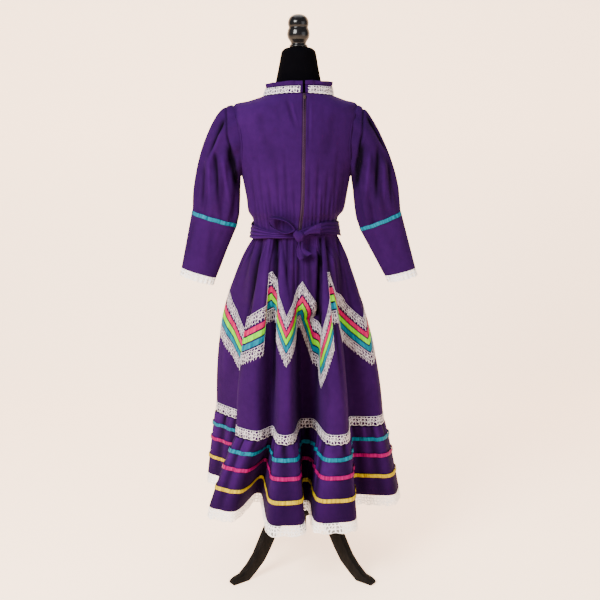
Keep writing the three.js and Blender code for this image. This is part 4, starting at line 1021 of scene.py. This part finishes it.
# Gathers under the sash, and long soft creases down the folds: place and half width are millimetres of cloth
# along the lower seam, so they draw together toward the waist as the cloth does.
def skirtCreaseTable():
    rng = np.random.default_rng(5)
    rows = []
    place = 0.0
    while place < skirtRound:
        long = rng.random() < 0.3
        rows.append((place, rng.uniform(-26, 26), -25, rng.uniform(240, 430) if long else rng.uniform(70, 190),
                     rng.uniform(9, 15), -rng.uniform(2.2, 4.0) if long else -rng.uniform(1.4, 2.8)))
        place += rng.uniform(26, 44)
    for k in range(26):
        start = rng.uniform(120, 360)
        rows.append((rng.uniform(0, skirtRound), rng.uniform(-30, 30), start, start + rng.uniform(120, 260),
                     rng.uniform(10, 22), rng.choice([-1, 1]) * rng.uniform(1.2, 2.8)))
    return rows


skirtCreases = skirtCreaseTable()


# The valleys that show at the back, as lines in x and z: x at the upper end, how far it moves, the two heights,
# half a width and a depth.
backValleys = [
    (-92, -100, 1110, 520, 6, -7), (-63, -24, 1110, 430, 6, -10), (-64, 40, 1060, 800, 4, -5),
    (-4, -9, 1090, 500, 5, -6),
    (58, -20, 1110, 470, 6, -11), (62, 60, 1110, 500, 5, -7), (-36, -6, 1080, 820, 4, -4), (22, 4, 1085, 780, 4, -4),
    (92, 40, 1090, 780, 4, -4), (-112, -60, 1080, 820, 5, -4), (-50, -14, 1090, 640, 5, 2.5),
    (44, -8, 1090, 640, 5, 2.5),
    (76, 26, 1090, 760, 4, 2.5), (8, 0, 1080, 800, 5, 2), (-78, -40, 1080, 700, 5, 2.5),
]


# creases of the cloth and of the back's valleys at places on the skirt, none at its top edge
def skirtFold(points, column, z):
    reach, down = np.broadcast_arrays(reachAt(column % skirtColumns), skirt["top"] - z)
    total = np.zeros(reach.shape)
    for shiftRound in (-skirtRound, 0, skirtRound):
        near = [row for row in skirtCreases if reach.min() - 60 < row[0] + shiftRound < reach.max() + 60]
        total += addCreases(reach - shiftRound, down, near)
    total += addCreases(points[..., 0], points[..., 2], backValleys) * ease(-points[..., 1], -10, 20)
    return total * ease(down, -2, 14)


# the skirt's surface with its creases, at any column and height
def skirtSurface(column, z, lift=0.0):
    column, z = np.broadcast_arrays(np.asarray(column, float), np.asarray(z, float))
    points = skirtPoint(column, z)
    across = skirtPoint(column + 0.02, z) - skirtPoint(column - 0.02, z)
    down = skirtPoint(column, z - 1.5) - skirtPoint(column, z + 1.5)
    return points + unitOf(np.cross(down, across)) * (skirtFold(points, column, z) + lift)[..., None]


# painted shade in the skirt's valleys: how far a column lies down in a valley, as a depth in mm that grows below the
# waist
def valleyPaintedShade(column, z):
    away = (column + 2) % perFold
    away = np.minimum(away, perFold - away)
    return -skirt["shadeDepth"] * bell(away, skirt["shadeHalf"]) * ease(skirt["top"] - z, *skirt["shadeDown"])


# columns between two others, spaced evenly along the cloth
def evenColumns(first, last, spacing):
    low, high = reachAt(first), reachAt(last)
    return columnAt(np.linspace(low, high, int((high - low) / spacing) + 1))


skirtPanels = [
    {"name": "skirt_back_left", "from": 58, "to": 75, "flat": (0.71, 0.585), "area": 0.30},
    {"name": "skirt_back_right", "from": 15, "to": 28, "flat": (0.63, 0.585), "area": 0.26},
    {"name": "skirt_front", "from": 28, "to": 58, "flat": (1.1, 0.585), "area": 0.46},
]
skirtNames = [panel["name"] for panel in skirtPanels]
for panel in skirtPanels:
    columns = evenColumns(panel["from"], panel["to"], skirt["columnGap"])
    z = mix(skirt["top"], skirt["bottom"] + liftAt(columns)[None], np.linspace(0, 1, skirt["rows"])[:, None])
    # painted shade: the creases and valleys darken the skirt's colour, and the ridges lighten it
    fold = skirtFold(skirtPoint(columns[None], z), columns[None], z) + valleyPaintedShade(columns[None], z)
    makeCloth(panel["name"], "skirt", skirtSurface(columns[None], z), "gathered", ["belt_band", "form_torso"],
              panel["flat"], panel["area"], along=reachAt(columns), fold=fold)
print("skirt made")

# zigzag: the upper edge runs straight between corners, each a column of the skirt and a height
zigzag = {"inset": 2.3, "lift": 2.4, "peak": 905, "dip": 760, "frontCorners": 9, "levelHeight": 780, "depthShare": 0.15,
          "columnGap": 4.5}
backCorners = [
    (1.2, 850), (2.5, 778), (2.9, 712), (4.4, 730), (5.6, 774), (8.3, 818), (8.36, 905), (9.75, 909), (13.04, 792),
    (14.9, 884), (16.1, 815), (17.6, 716), (19.05, 838), (19.1, 908), (20.1, 908), (20.3, 850), (24, 760), (27, 900),
]


# the edge's height at a column, and its corners' columns; behind, corners are spaced as they look from behind
def zigzagEdge():
    levelRing = skirtPoint(fineColumns, zigzag["levelHeight"])
    step = np.diff(levelRing, axis=0)
    seen = np.abs(step[:, 0]) + zigzag["depthShare"] * np.abs(step[:, 1])
    level = np.where(levelRing[1:, 1] < 0, seen, np.linalg.norm(step, axis=1))
    level = np.concatenate([[0], np.cumsum(level)])
    whole = level[-1]
    at = [(np.interp(column, fineColumns, level), z) for column, z in backCorners]
    last, wrap = at[-1][0], at[0][0] + whole
    for k in range(1, zigzag["frontCorners"] + 1):
        at.append((mix(last, wrap, k / (zigzag["frontCorners"] + 1)), zigzag["dip"] if k % 2 else zigzag["peak"]))
    at.append((wrap, backCorners[0][1]))
    reach, heights = np.array(at).T

    def edge(column):
        here = np.interp(np.asarray(column) % skirtColumns, fineColumns, level)
        return np.interp(np.where(here < reach[0], here + whole, here), reach, heights)

    corners = np.interp(reach % whole, level, fineColumns)
    return edge, corners


zigzagUpper, zigzagCorners = zigzagEdge()
# from the top down: name, cloth, height, rows of points, pucker and flat size
strips = [
    ("zigzag_lace_upper", "flatLace", 41, 9, 0, (3.0, 0.02)),
    ("zigzag_ribbon_pink", "pink", 21, 7, 0.35, (3.0, 0.0105)),
    ("zigzag_ribbon_lime", "lime", 21, 7, 0.35, (3.1, 0.0105)),
    ("zigzag_ribbon_turquoise", "turquoise", 21, 7, 0.35, (3.25, 0.0105)),
    ("zigzag_lace_lower", "flatLace", 41, 9, 0, (3.6, 0.0205)),
]
stripColumns = np.unique(np.concatenate([columnAt(np.arange(0, skirtRound - 3, zigzag["columnGap"])), zigzagCorners]))
stripReach = reachAt(stripColumns)
stripWander = 0.4 * np.sin(stripReach / 31) + 0.25 * np.sin(stripReach / 11.3 + 1)
stripTop = 0
for name, kind, height, rows, pucker, flat in strips:
    share = np.linspace(0, 1, rows)[:, None]
    drop = (height - 2 * zigzag["inset"]) * share
    z = zigzagUpper(stripColumns)[None] - stripTop - zigzag["inset"] - drop + stripWander[None]
    waves = pucker * np.sin(stripReach / 3.4 + 2 * np.sin(stripReach / 29))[None] * np.sin(np.pi * share)
    makeCloth(name, kind, skirtSurface(stripColumns[None], z, zigzag["lift"] + waves), "laid", skirtNames, flat,
              closed=True, down=drop)
    stripTop += height

# lace over the skirt's lower seam, gathered along its lower edge; the scallops cut into that edge
skirtLace = {"gap": 3.4, "drop": 27.4, "width": 29, "lift": 2.1, "scallop": 20, "scallopDepth": 3.0, "gather": 14,
             "gatherDepth": (0.3, 2.8)}


# scallops: the sine's size along the cloth, less 0.6, as a depth in mm
def scallopAt(reach, trim):
    return (np.abs(np.sin(np.pi * reach / trim["scallop"])) - 0.6)[None] * trim["scallopDepth"]


laceColumns = columnAt(np.arange(0, skirtRound - 2, skirtLace["gap"]))
laceReach = reachAt(laceColumns)
share = np.linspace(0, 1, 13)[:, None]
gather = 0.5 + 0.5 * np.sin(2 * np.pi * laceReach / skirtLace["gather"] + 0.9 * np.sin(laceReach / 61))
gather = gather * mix(*skirtLace["gatherDepth"], share)
z = skirt["laceTop"] + liftAt(laceColumns)[None] - skirtLace["drop"] * share
z = z - scallopAt(laceReach, skirtLace) * share ** 3
makeCloth("skirt_lace", "skirtLace", skirtSurface(laceColumns[None], z, skirtLace["lift"] + gather), "gathered",
          skirtNames, (2.6, 0.029), closed=True, down=skirtLace["width"] * share)
print("zigzag and skirt lace made")

ruffle = {"waves": 45, "top": 429.8, "bottom": 215, "levels": (429.8, 391, 341, 277, 215, 180),
          "gather": (4.6, 4.4, 3.2, 1.7, 0.8, 3.2), "puckerDepth": 1.5, "puckerHeight": 425, "puckerHalf": 26,
          "liftShare": 1.3, "columnGap": 3.4, "rows": 44, "shade": 2.6, "ribbonHalf": 5.5, "ribbonPuff": 3.5}
ribbonRows = [
    {"name": "ruffle_ribbon_turquoise", "cloth": "turquoise", "z": 391, "pucker": 1.3},
    {"name": "ruffle_ribbon_magenta", "cloth": "magenta", "z": 341, "pucker": 1.1},
    {"name": "ruffle_ribbon_yellow", "cloth": "yellow", "z": 277, "pucker": 0.6},
]


# gathers round the ruffle: an uneven wave outward, and finer puckers under the seam and beside each ribbon
def gatherAt(reach, z):
    wave = reach / skirtRound * ruffle["waves"]
    wave = wave + 0.16 * np.sin(2.1 * wave) + 0.11 * np.sin(0.83 * wave + 1)
    depth = np.interp(-z, -np.array(ruffle["levels"]), ruffle["gather"])
    total = (0.5 - 0.5 * np.cos(2 * np.pi * wave)) * (1 + 0.35 * np.sin(1.37 * wave + 0.6)) * depth
    pucker = ruffle["puckerDepth"] * np.sin(2 * np.pi * wave * 2.4 + 1.1 * np.sin(wave))
    total = total + pucker * bell(z - ruffle["puckerHeight"], ruffle["puckerHalf"])
    for row in ribbonRows:
        pucker = 0.5 * row["pucker"] * np.sin(2 * np.pi * wave * 3.1 + row["z"] + 0.8 * np.sin(1.9 * wave))
        total = total + pucker * bell(z - row["z"], 13)
    return total


# from the seam's curve to the hem's, moved out across the cloth by the gathers and a lift
def rufflePoint(column, z, lift=0.0):
    column, z = np.broadcast_arrays(np.asarray(column, float), np.asarray(z, float))
    down = (skirt["bottom"] - z) / (skirt["bottom"] - ruffle["bottom"])
    spread = (np.minimum(down, 1) ** 0.85 + np.maximum(down - 1, 0) * 0.5)[..., None]
    before, at, after = [mix(seamCurve(column + step), hemCurve(column + step), spread) for step in (-0.02, 0, 0.02)]
    along = unitOf(after - before)
    out = np.stack([along[..., 1], -along[..., 0]], -1)
    at = at + out * (gatherAt(reachAt(column), z) + lift)[..., None]
    rise = liftAt(column) * mix(1, ruffle["liftShare"], np.minimum(down, 1))
    return np.stack([at[..., 0], at[..., 1], z + rise], -1)


rufflePanels = [
    {"name": "ruffle_back", "from": 58, "to": 88, "flat": (1.9, 0.216), "area": 0.34},
    {"name": "ruffle_front", "from": 28, "to": 58, "flat": (1.6, 0.216), "area": 0.27},
]
ruffleNames = [panel["name"] for panel in rufflePanels]
for panel in rufflePanels:
    columns = evenColumns(panel["from"], panel["to"], ruffle["columnGap"])
    z = np.linspace(ruffle["top"], ruffle["bottom"], ruffle["rows"])[:, None]
    # painted shade: the ruffle is darker in its gathers' hollows and in its valleys, lighter on the gathers' crests
    fold = ruffle["shade"] * (gatherAt(reachAt(columns)[None], z) - 2) + valleyPaintedShade(columns[None], z)
    makeCloth(panel["name"], "skirt", rufflePoint(columns[None], z), "gathered", skirtNames, panel["flat"],
              panel["area"], along=reachAt(columns), fold=fold)

ringColumns = columnAt(np.arange(0, skirtRound - 1.5, ruffle["columnGap"]))
ringReach = reachAt(ringColumns)
for row in ribbonRows:
    share = np.linspace(-1, 1, 7)[:, None]
    wander = 0.6 * row["pucker"] * (0.8 * np.sin(ringReach / 9.3 + row["z"]) + 0.6 * np.sin(ringReach / 4.1 + 2))
    pucker = 0.5 * row["pucker"] * np.sin(ringReach / 2.9 + 3 * np.sin(ringReach / 47))[None] * (1 - share ** 2)
    z = row["z"] - share * ruffle["ribbonHalf"] + wander[None]
    points = rufflePoint(ringColumns[None], z, ruffle["ribbonPuff"] + pucker)
    makeCloth(row["name"], row["cloth"], points, "gathered", ruffleNames, (3.0, 0.011), closed=True)

hemLace = {"gap": 1.2, "drop": 31, "lift": 0.4, "wave": 0.8, "scallop": 21, "scallopDepth": 4.6}
share = np.linspace(0, 1, 13)[:, None]
z = ruffle["bottom"] - mix(hemLace["gap"], hemLace["drop"], share) - scallopAt(ringReach, hemLace) * share ** 3
points = rufflePoint(ringColumns[None], z, hemLace["lift"] + hemLace["wave"] * share * np.sin(ringReach / 5.3)[None])
makeCloth("hem_lace", "hemLace", points, "gathered", ruffleNames, (3.1, 0.031), closed=True,
          down=hemLace["drop"] * share)
print("ruffle made")

sash = {"halfWidth": 124, "halfDepth": 98, "spread": 3.1, "columns": 360, "rows": 17, "lift": 1.2, "strandDepth": 3.6,
        "strandFoot": 1.4, "shade": 3.2}
# degrees round the waist, 0 at the knot, and the band's middle height and its height
beltTable = [
    (-180, 1016, 42), (-100, 1013, 42), (-60, 1010, 34), (-35, 1009, 18), (0, 1010, 14), (20, 1021, 24), (45, 1026, 34),
    (90, 1013, 42), (180, 1016, 42),
]


# an oval band with soft strands along it, fainter on the left of the knot
def beltBand():
    degrees = np.linspace(-180, 180, sash["columns"], endpoint=False)[None]
    side = np.linspace(1, -1, sash["rows"])[:, None]
    at, middles, heights = np.array(beltTable, float).T
    middle, height = np.interp(degrees, at, middles), np.interp(degrees, at, heights)
    angle = np.radians(degrees)
    waves = np.abs(np.sin(np.pi * (1.7 * side + 0.35 * np.sin(angle * 2.2)))) ** 0.7
    strands = (sash["strandDepth"] * waves - sash["strandFoot"]) * mix(0.45, 1.0, ease(-degrees, -20, 30))
    out = strands + sash["lift"] - side * sash["spread"]
    x = skirt["waistX"] + (sash["halfWidth"] + out) * np.sin(angle)
    points = np.stack([x, -(sash["halfDepth"] + out) * np.cos(angle), middle + side * height * 0.5], -1)
    # painted shade between the strands, lighter colour on their tops
    makeCloth("belt_band", "skirt", points, "gathered", ["bodice_front", "skirt_front"], (0.72, 0.045), closed=True,
              fold=sash["shade"] * (strands - sash["strandFoot"]))


beltBand()
knot = {"place": (-6, -110.5, 1008), "half": (13, -8, 17), "lean": -32, "rows": 40, "columns": 56}


# turned by lean degrees in the plane of x and z
def leaned(x, z, lean):
    lean = math.radians(lean)
    return x * math.cos(lean) - z * math.sin(lean), x * math.sin(lean) + z * math.cos(lean)


# the knot: an oval ball with wrapped creases running round it
def knotPiece():
    polar = np.linspace(0.02, np.pi - 0.02, knot["rows"])[:, None]
    turn = columnsRound(knot["columns"])
    ripple = 1 + 0.07 * np.sin(4 * polar + 1.3 * np.sin(turn)) + 0.05 * np.sin(3 * turn + 2 * polar)
    ball = [np.sin(polar) * np.sin(turn), np.sin(polar) * np.cos(turn), np.cos(polar)]
    x, y, z = [half * part * ripple for half, part in zip(knot["half"], ball)]
    x, z = leaned(x, z, -knot["lean"])
    ball = makeSheet("belt_knot", np.stack([x, y, z], -1) + knot["place"], True)
    finishPiece(ball, "belt_knot", "purple_cloth", purpleCloth)


knotPiece()
loop = {"place": (-53, -97.3, 1040), "half": (35.5, 18), "lean": -24, "depth": 21, "drop": 7, "rows": 14,
        "columns": 150}


# the open loop: a band round a tipped oval, its upper run leaning out, with soft lengthwise folds; painted shade
# darkens it toward the body and along a line near its middle, and lightens its outer edge
def loopPiece():
    w = np.linspace(1, 0, loop["rows"])[:, None]
    angle = columnsRound(loop["columns"])
    swell = 1 + 0.03 * np.sin(5 * angle + 1) * w
    x, z = leaned(loop["half"][0] * np.cos(angle) * swell, loop["half"][1] * np.sin(angle) * swell, loop["lean"])
    z = z - loop["drop"] * np.maximum(np.sin(angle), 0) * w
    y = 1.2 * np.sin(3 * angle + 2) * w - loop["depth"] * w
    points = np.stack([x, y, z], -1) + loop["place"]
    ridge = 0.7 * np.sin(2.5 * np.pi * w + 0.6 * np.sin(2 * angle))
    makeCloth("belt_loop_left", "skirt", points + normalsOf(points, True) * ridge[..., None], "folded", ["belt_knot"],
              (0.175, 0.022), closed=True, fold=mix(-5.5, 2.0, w) - 3 * bell(w - 0.55, 0.12))


loopPiece()


# a flat end: stations from the knot outward, each a middle place, half a width and the degrees that its width turns
def sashEnd(name, stations, thickness, curl, curlShade, flat):
    stations = np.array(stations, float)
    t = np.linspace(0, len(stations) - 1, 40)
    x, y, z, half, turn = [np.interp(t, np.arange(len(stations)), column) for column in stations.T]
    side, along, turn = np.linspace(1, -1, 22)[:, None], (t / t.max())[None], np.radians(turn)
    fold = thickness * 0.6 * (1 - side ** 2) + curl * np.sin(2.6 * np.pi * side + 0.12 * t[None]) * along
    points = np.stack([x - side * half * np.sin(turn), y - fold, z + side * half * np.cos(turn)], -1)
    # curlShade gives painted shade in the end's colour
    makeCloth(name, "skirt", points, "folded", ["belt_knot"], flat, fold=curlShade(side, along))


# painted shade: a dark stripe along the loop's end
sashEnd("belt_loop_right", [
    (6.9, -103.6, 1011, 4, 0), (24, -106, 1021, 7, 0), (42, -106, 1027, 12, -4), (55, -103.5, 1029, 15, -8),
], 3, 0.8, lambda side, along: -2.5 * bell(side + 0.2, 0.3), (0.055, 0.02))
# painted shade: a dark stripe down the tail's middle, strongest toward its two ends
sashEnd("belt_tail", [
    (14, -121, 952, 20, 118), (4, -117, 961, 16, 112), (-2, -113.5, 974, 9, 101), (0, -111, 992, 6, 92),
], 1.8, 1.6, lambda side, along: -9 * bell(side - 0.05, 0.3) * ease(np.abs(along - 0.5), 0.1, 0.5), (0.045, 0.032))
print("sash made")

# from the foot up: half width, half depth, height, and the oval's middle in x and y
formNeck = [
    (66, 50, 1400.4, -3, -5), (66, 50, 1403, -3, -5), (62, 50, 1425, -3, -4), (54.5, 48, 1462, -2.5, -2),
    (49, 46, 1492, -2, 0), (45.5, 43, 1504, -2, 0), (36, 34, 1512, -2, 0), (24, 23, 1515, -2, 0),
]
# radius and height
finialProfile = [
    (20, 1515.4), (24.2, 1515.6), (25, 1519), (22.5, 1521.5), (21, 1523.5), (21.2, 1526), (24, 1531), (29, 1539),
    (31, 1549), (29.4, 1559), (27, 1565), (26.6, 1568), (28.3, 1574), (28.2, 1583), (23, 1594), (13, 1600.6),
    (3, 1602.4),
]


# a smooth curve through the table's rows: Hermite pieces with each slope taken from both neighbours
def smoothTable(table, count):
    table = np.array(table, float)
    knots = np.arange(len(table), dtype=float)
    t = np.linspace(0, len(table) - 1, count)
    k = np.minimum(t.astype(int), len(table) - 2)
    s = (t - k)[:, None]
    slope = np.gradient(table, knots, axis=0)
    return hermite(table[k], table[k + 1], slope[k], slope[k + 1], s)


# rings of an oval in plan, one for each row of half width, half depth, height and middle
def ovalRings(rows, sides):
    turn = np.arange(sides) * 2 * np.pi / sides
    halfWidth, halfDepth, z, x, y = [rows[:, k][:, None] for k in range(5)]
    return np.stack(np.broadcast_arrays(x + halfWidth * np.sin(turn), y - halfDepth * np.cos(turn), z), -1)


finishPiece(makeLoft("form_neck", ovalRings(smoothTable(formNeck, 60), 96)), "form_neck", "form_black", formCover)
finialTable = [(radius, radius, z, -2, 0) for radius, z in finialProfile]
finishPiece(makeLoft("form_finial", ovalRings(smoothTable(finialTable, 110), 72)), "form_finial", "finial_gloss",
            finialLacquer)

# the legs and hub are their solids with rounded edges; the torso, pole and zip slider keep their solids
for name, bevel in [("form_leg_left", 2.5), ("form_leg_right", 2.5), ("form_leg_far", 2.5), ("form_hub", 1.5)]:
    rounded = linkObject(name + "_rounded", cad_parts[name].data.copy())
    rounded.data.materials.clear()
    rounded.modifiers.new("weld", "WELD").merge_threshold = 0.00002
    finishPiece(rounded, name, "wood_black", standWood, bevel=bevel)
for name, material in [("form_torso", formCover), ("form_pole", polePaint), ("zip_slider", sliderMetal)]:
    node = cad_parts[name]
    node.data.materials.clear()
    node.data.materials.append(material)
print("form made")

studio = {
    "floor": (0.92, 0.74, 0.56), "glow": 2.3, "glowColour": (1.0, 0.70, 0.50), "bend": 1200, "behind": 1500,
    "front": -6000, "side": 7000, "height": 6000, "air": 0.3, "airColour": (1.0, 0.97, 0.94),
    "lights": [
        ("key", (-1900, -2600, 2700), (0, 0, 900), 1.6, 400, (1.0, 0.98, 0.95)),
        ("fill", (2600, -1900, 1500), (0, 0, 800), 2.2, 46, (0.96, 0.97, 1.0)),
        ("top", (0, 400, 3600), (0, 0, 800), 2.4, 60, (1, 1, 1)),
    ],
}


def studioMaterial():
    material, tree, shader = startMaterial("paperSweep", {
        "Roughness": 0.95, "Specular IOR Level": 0.05, "Emission Color": (*studio["glowColour"], 1),
        "Emission Strength": studio["glow"]})
    shade = tuple(0.975 * v for v in studio["floor"])
    setColour(tree, shader, mottleOf(tree, 1.2, 40.0)[0], [(0.35, shade), (0.65, studio["floor"])])
    return material


# a sweep of paper: a flat floor that curves up behind the stand in a quarter circle
def studioSweep():
    bend, size = np.radians(np.linspace(0, 90, 40)), studio["bend"]
    curve = np.stack([0 * bend, studio["behind"] + size * np.sin(bend), size - size * np.cos(bend)], 1)
    profile = np.concatenate([[[0, studio["front"], 0]], curve, [[0, studio["behind"] + size, studio["height"]]]])
    points = np.stack([profile + [x, 0, 0] for x in (-studio["side"], studio["side"])], 1)[::-1]
    sweep = makeSheet("studioSweep", points)
    sweep.data.materials.append(studioMaterial())
    sweep.data.shade_smooth()


studioSweep()


# a square light that faces its target; places in mm, size in metres, power in watts
def softLight(name, place, target, size, power, colour):
    data = bpy.data.lights.new(name, "AREA")
    data.shape, data.size, data.energy, data.color = "SQUARE", size, power, colour
    light = linkObject(name, data)
    light.location = np.array(place) / 1000 + poleAxis
    ahead = np.array(target, float) - np.array(place, float)
    flat = math.hypot(ahead[0], ahead[1])
    light.rotation_euler = (math.atan2(flat, -ahead[2]), 0, math.atan2(ahead[1], ahead[0]) - math.pi / 2)


for light in studio["lights"]:
    softLight(*light)
world = bpy.data.worlds.new("studioAir")
bpy.context.scene.world = world
world.use_nodes = True
air = world.node_tree.nodes["Background"].inputs
air["Color"].default_value, air["Strength"].default_value = (*studio["airColour"], 1), studio["air"]
print("studio lit")

bpy.context.view_layer.update()
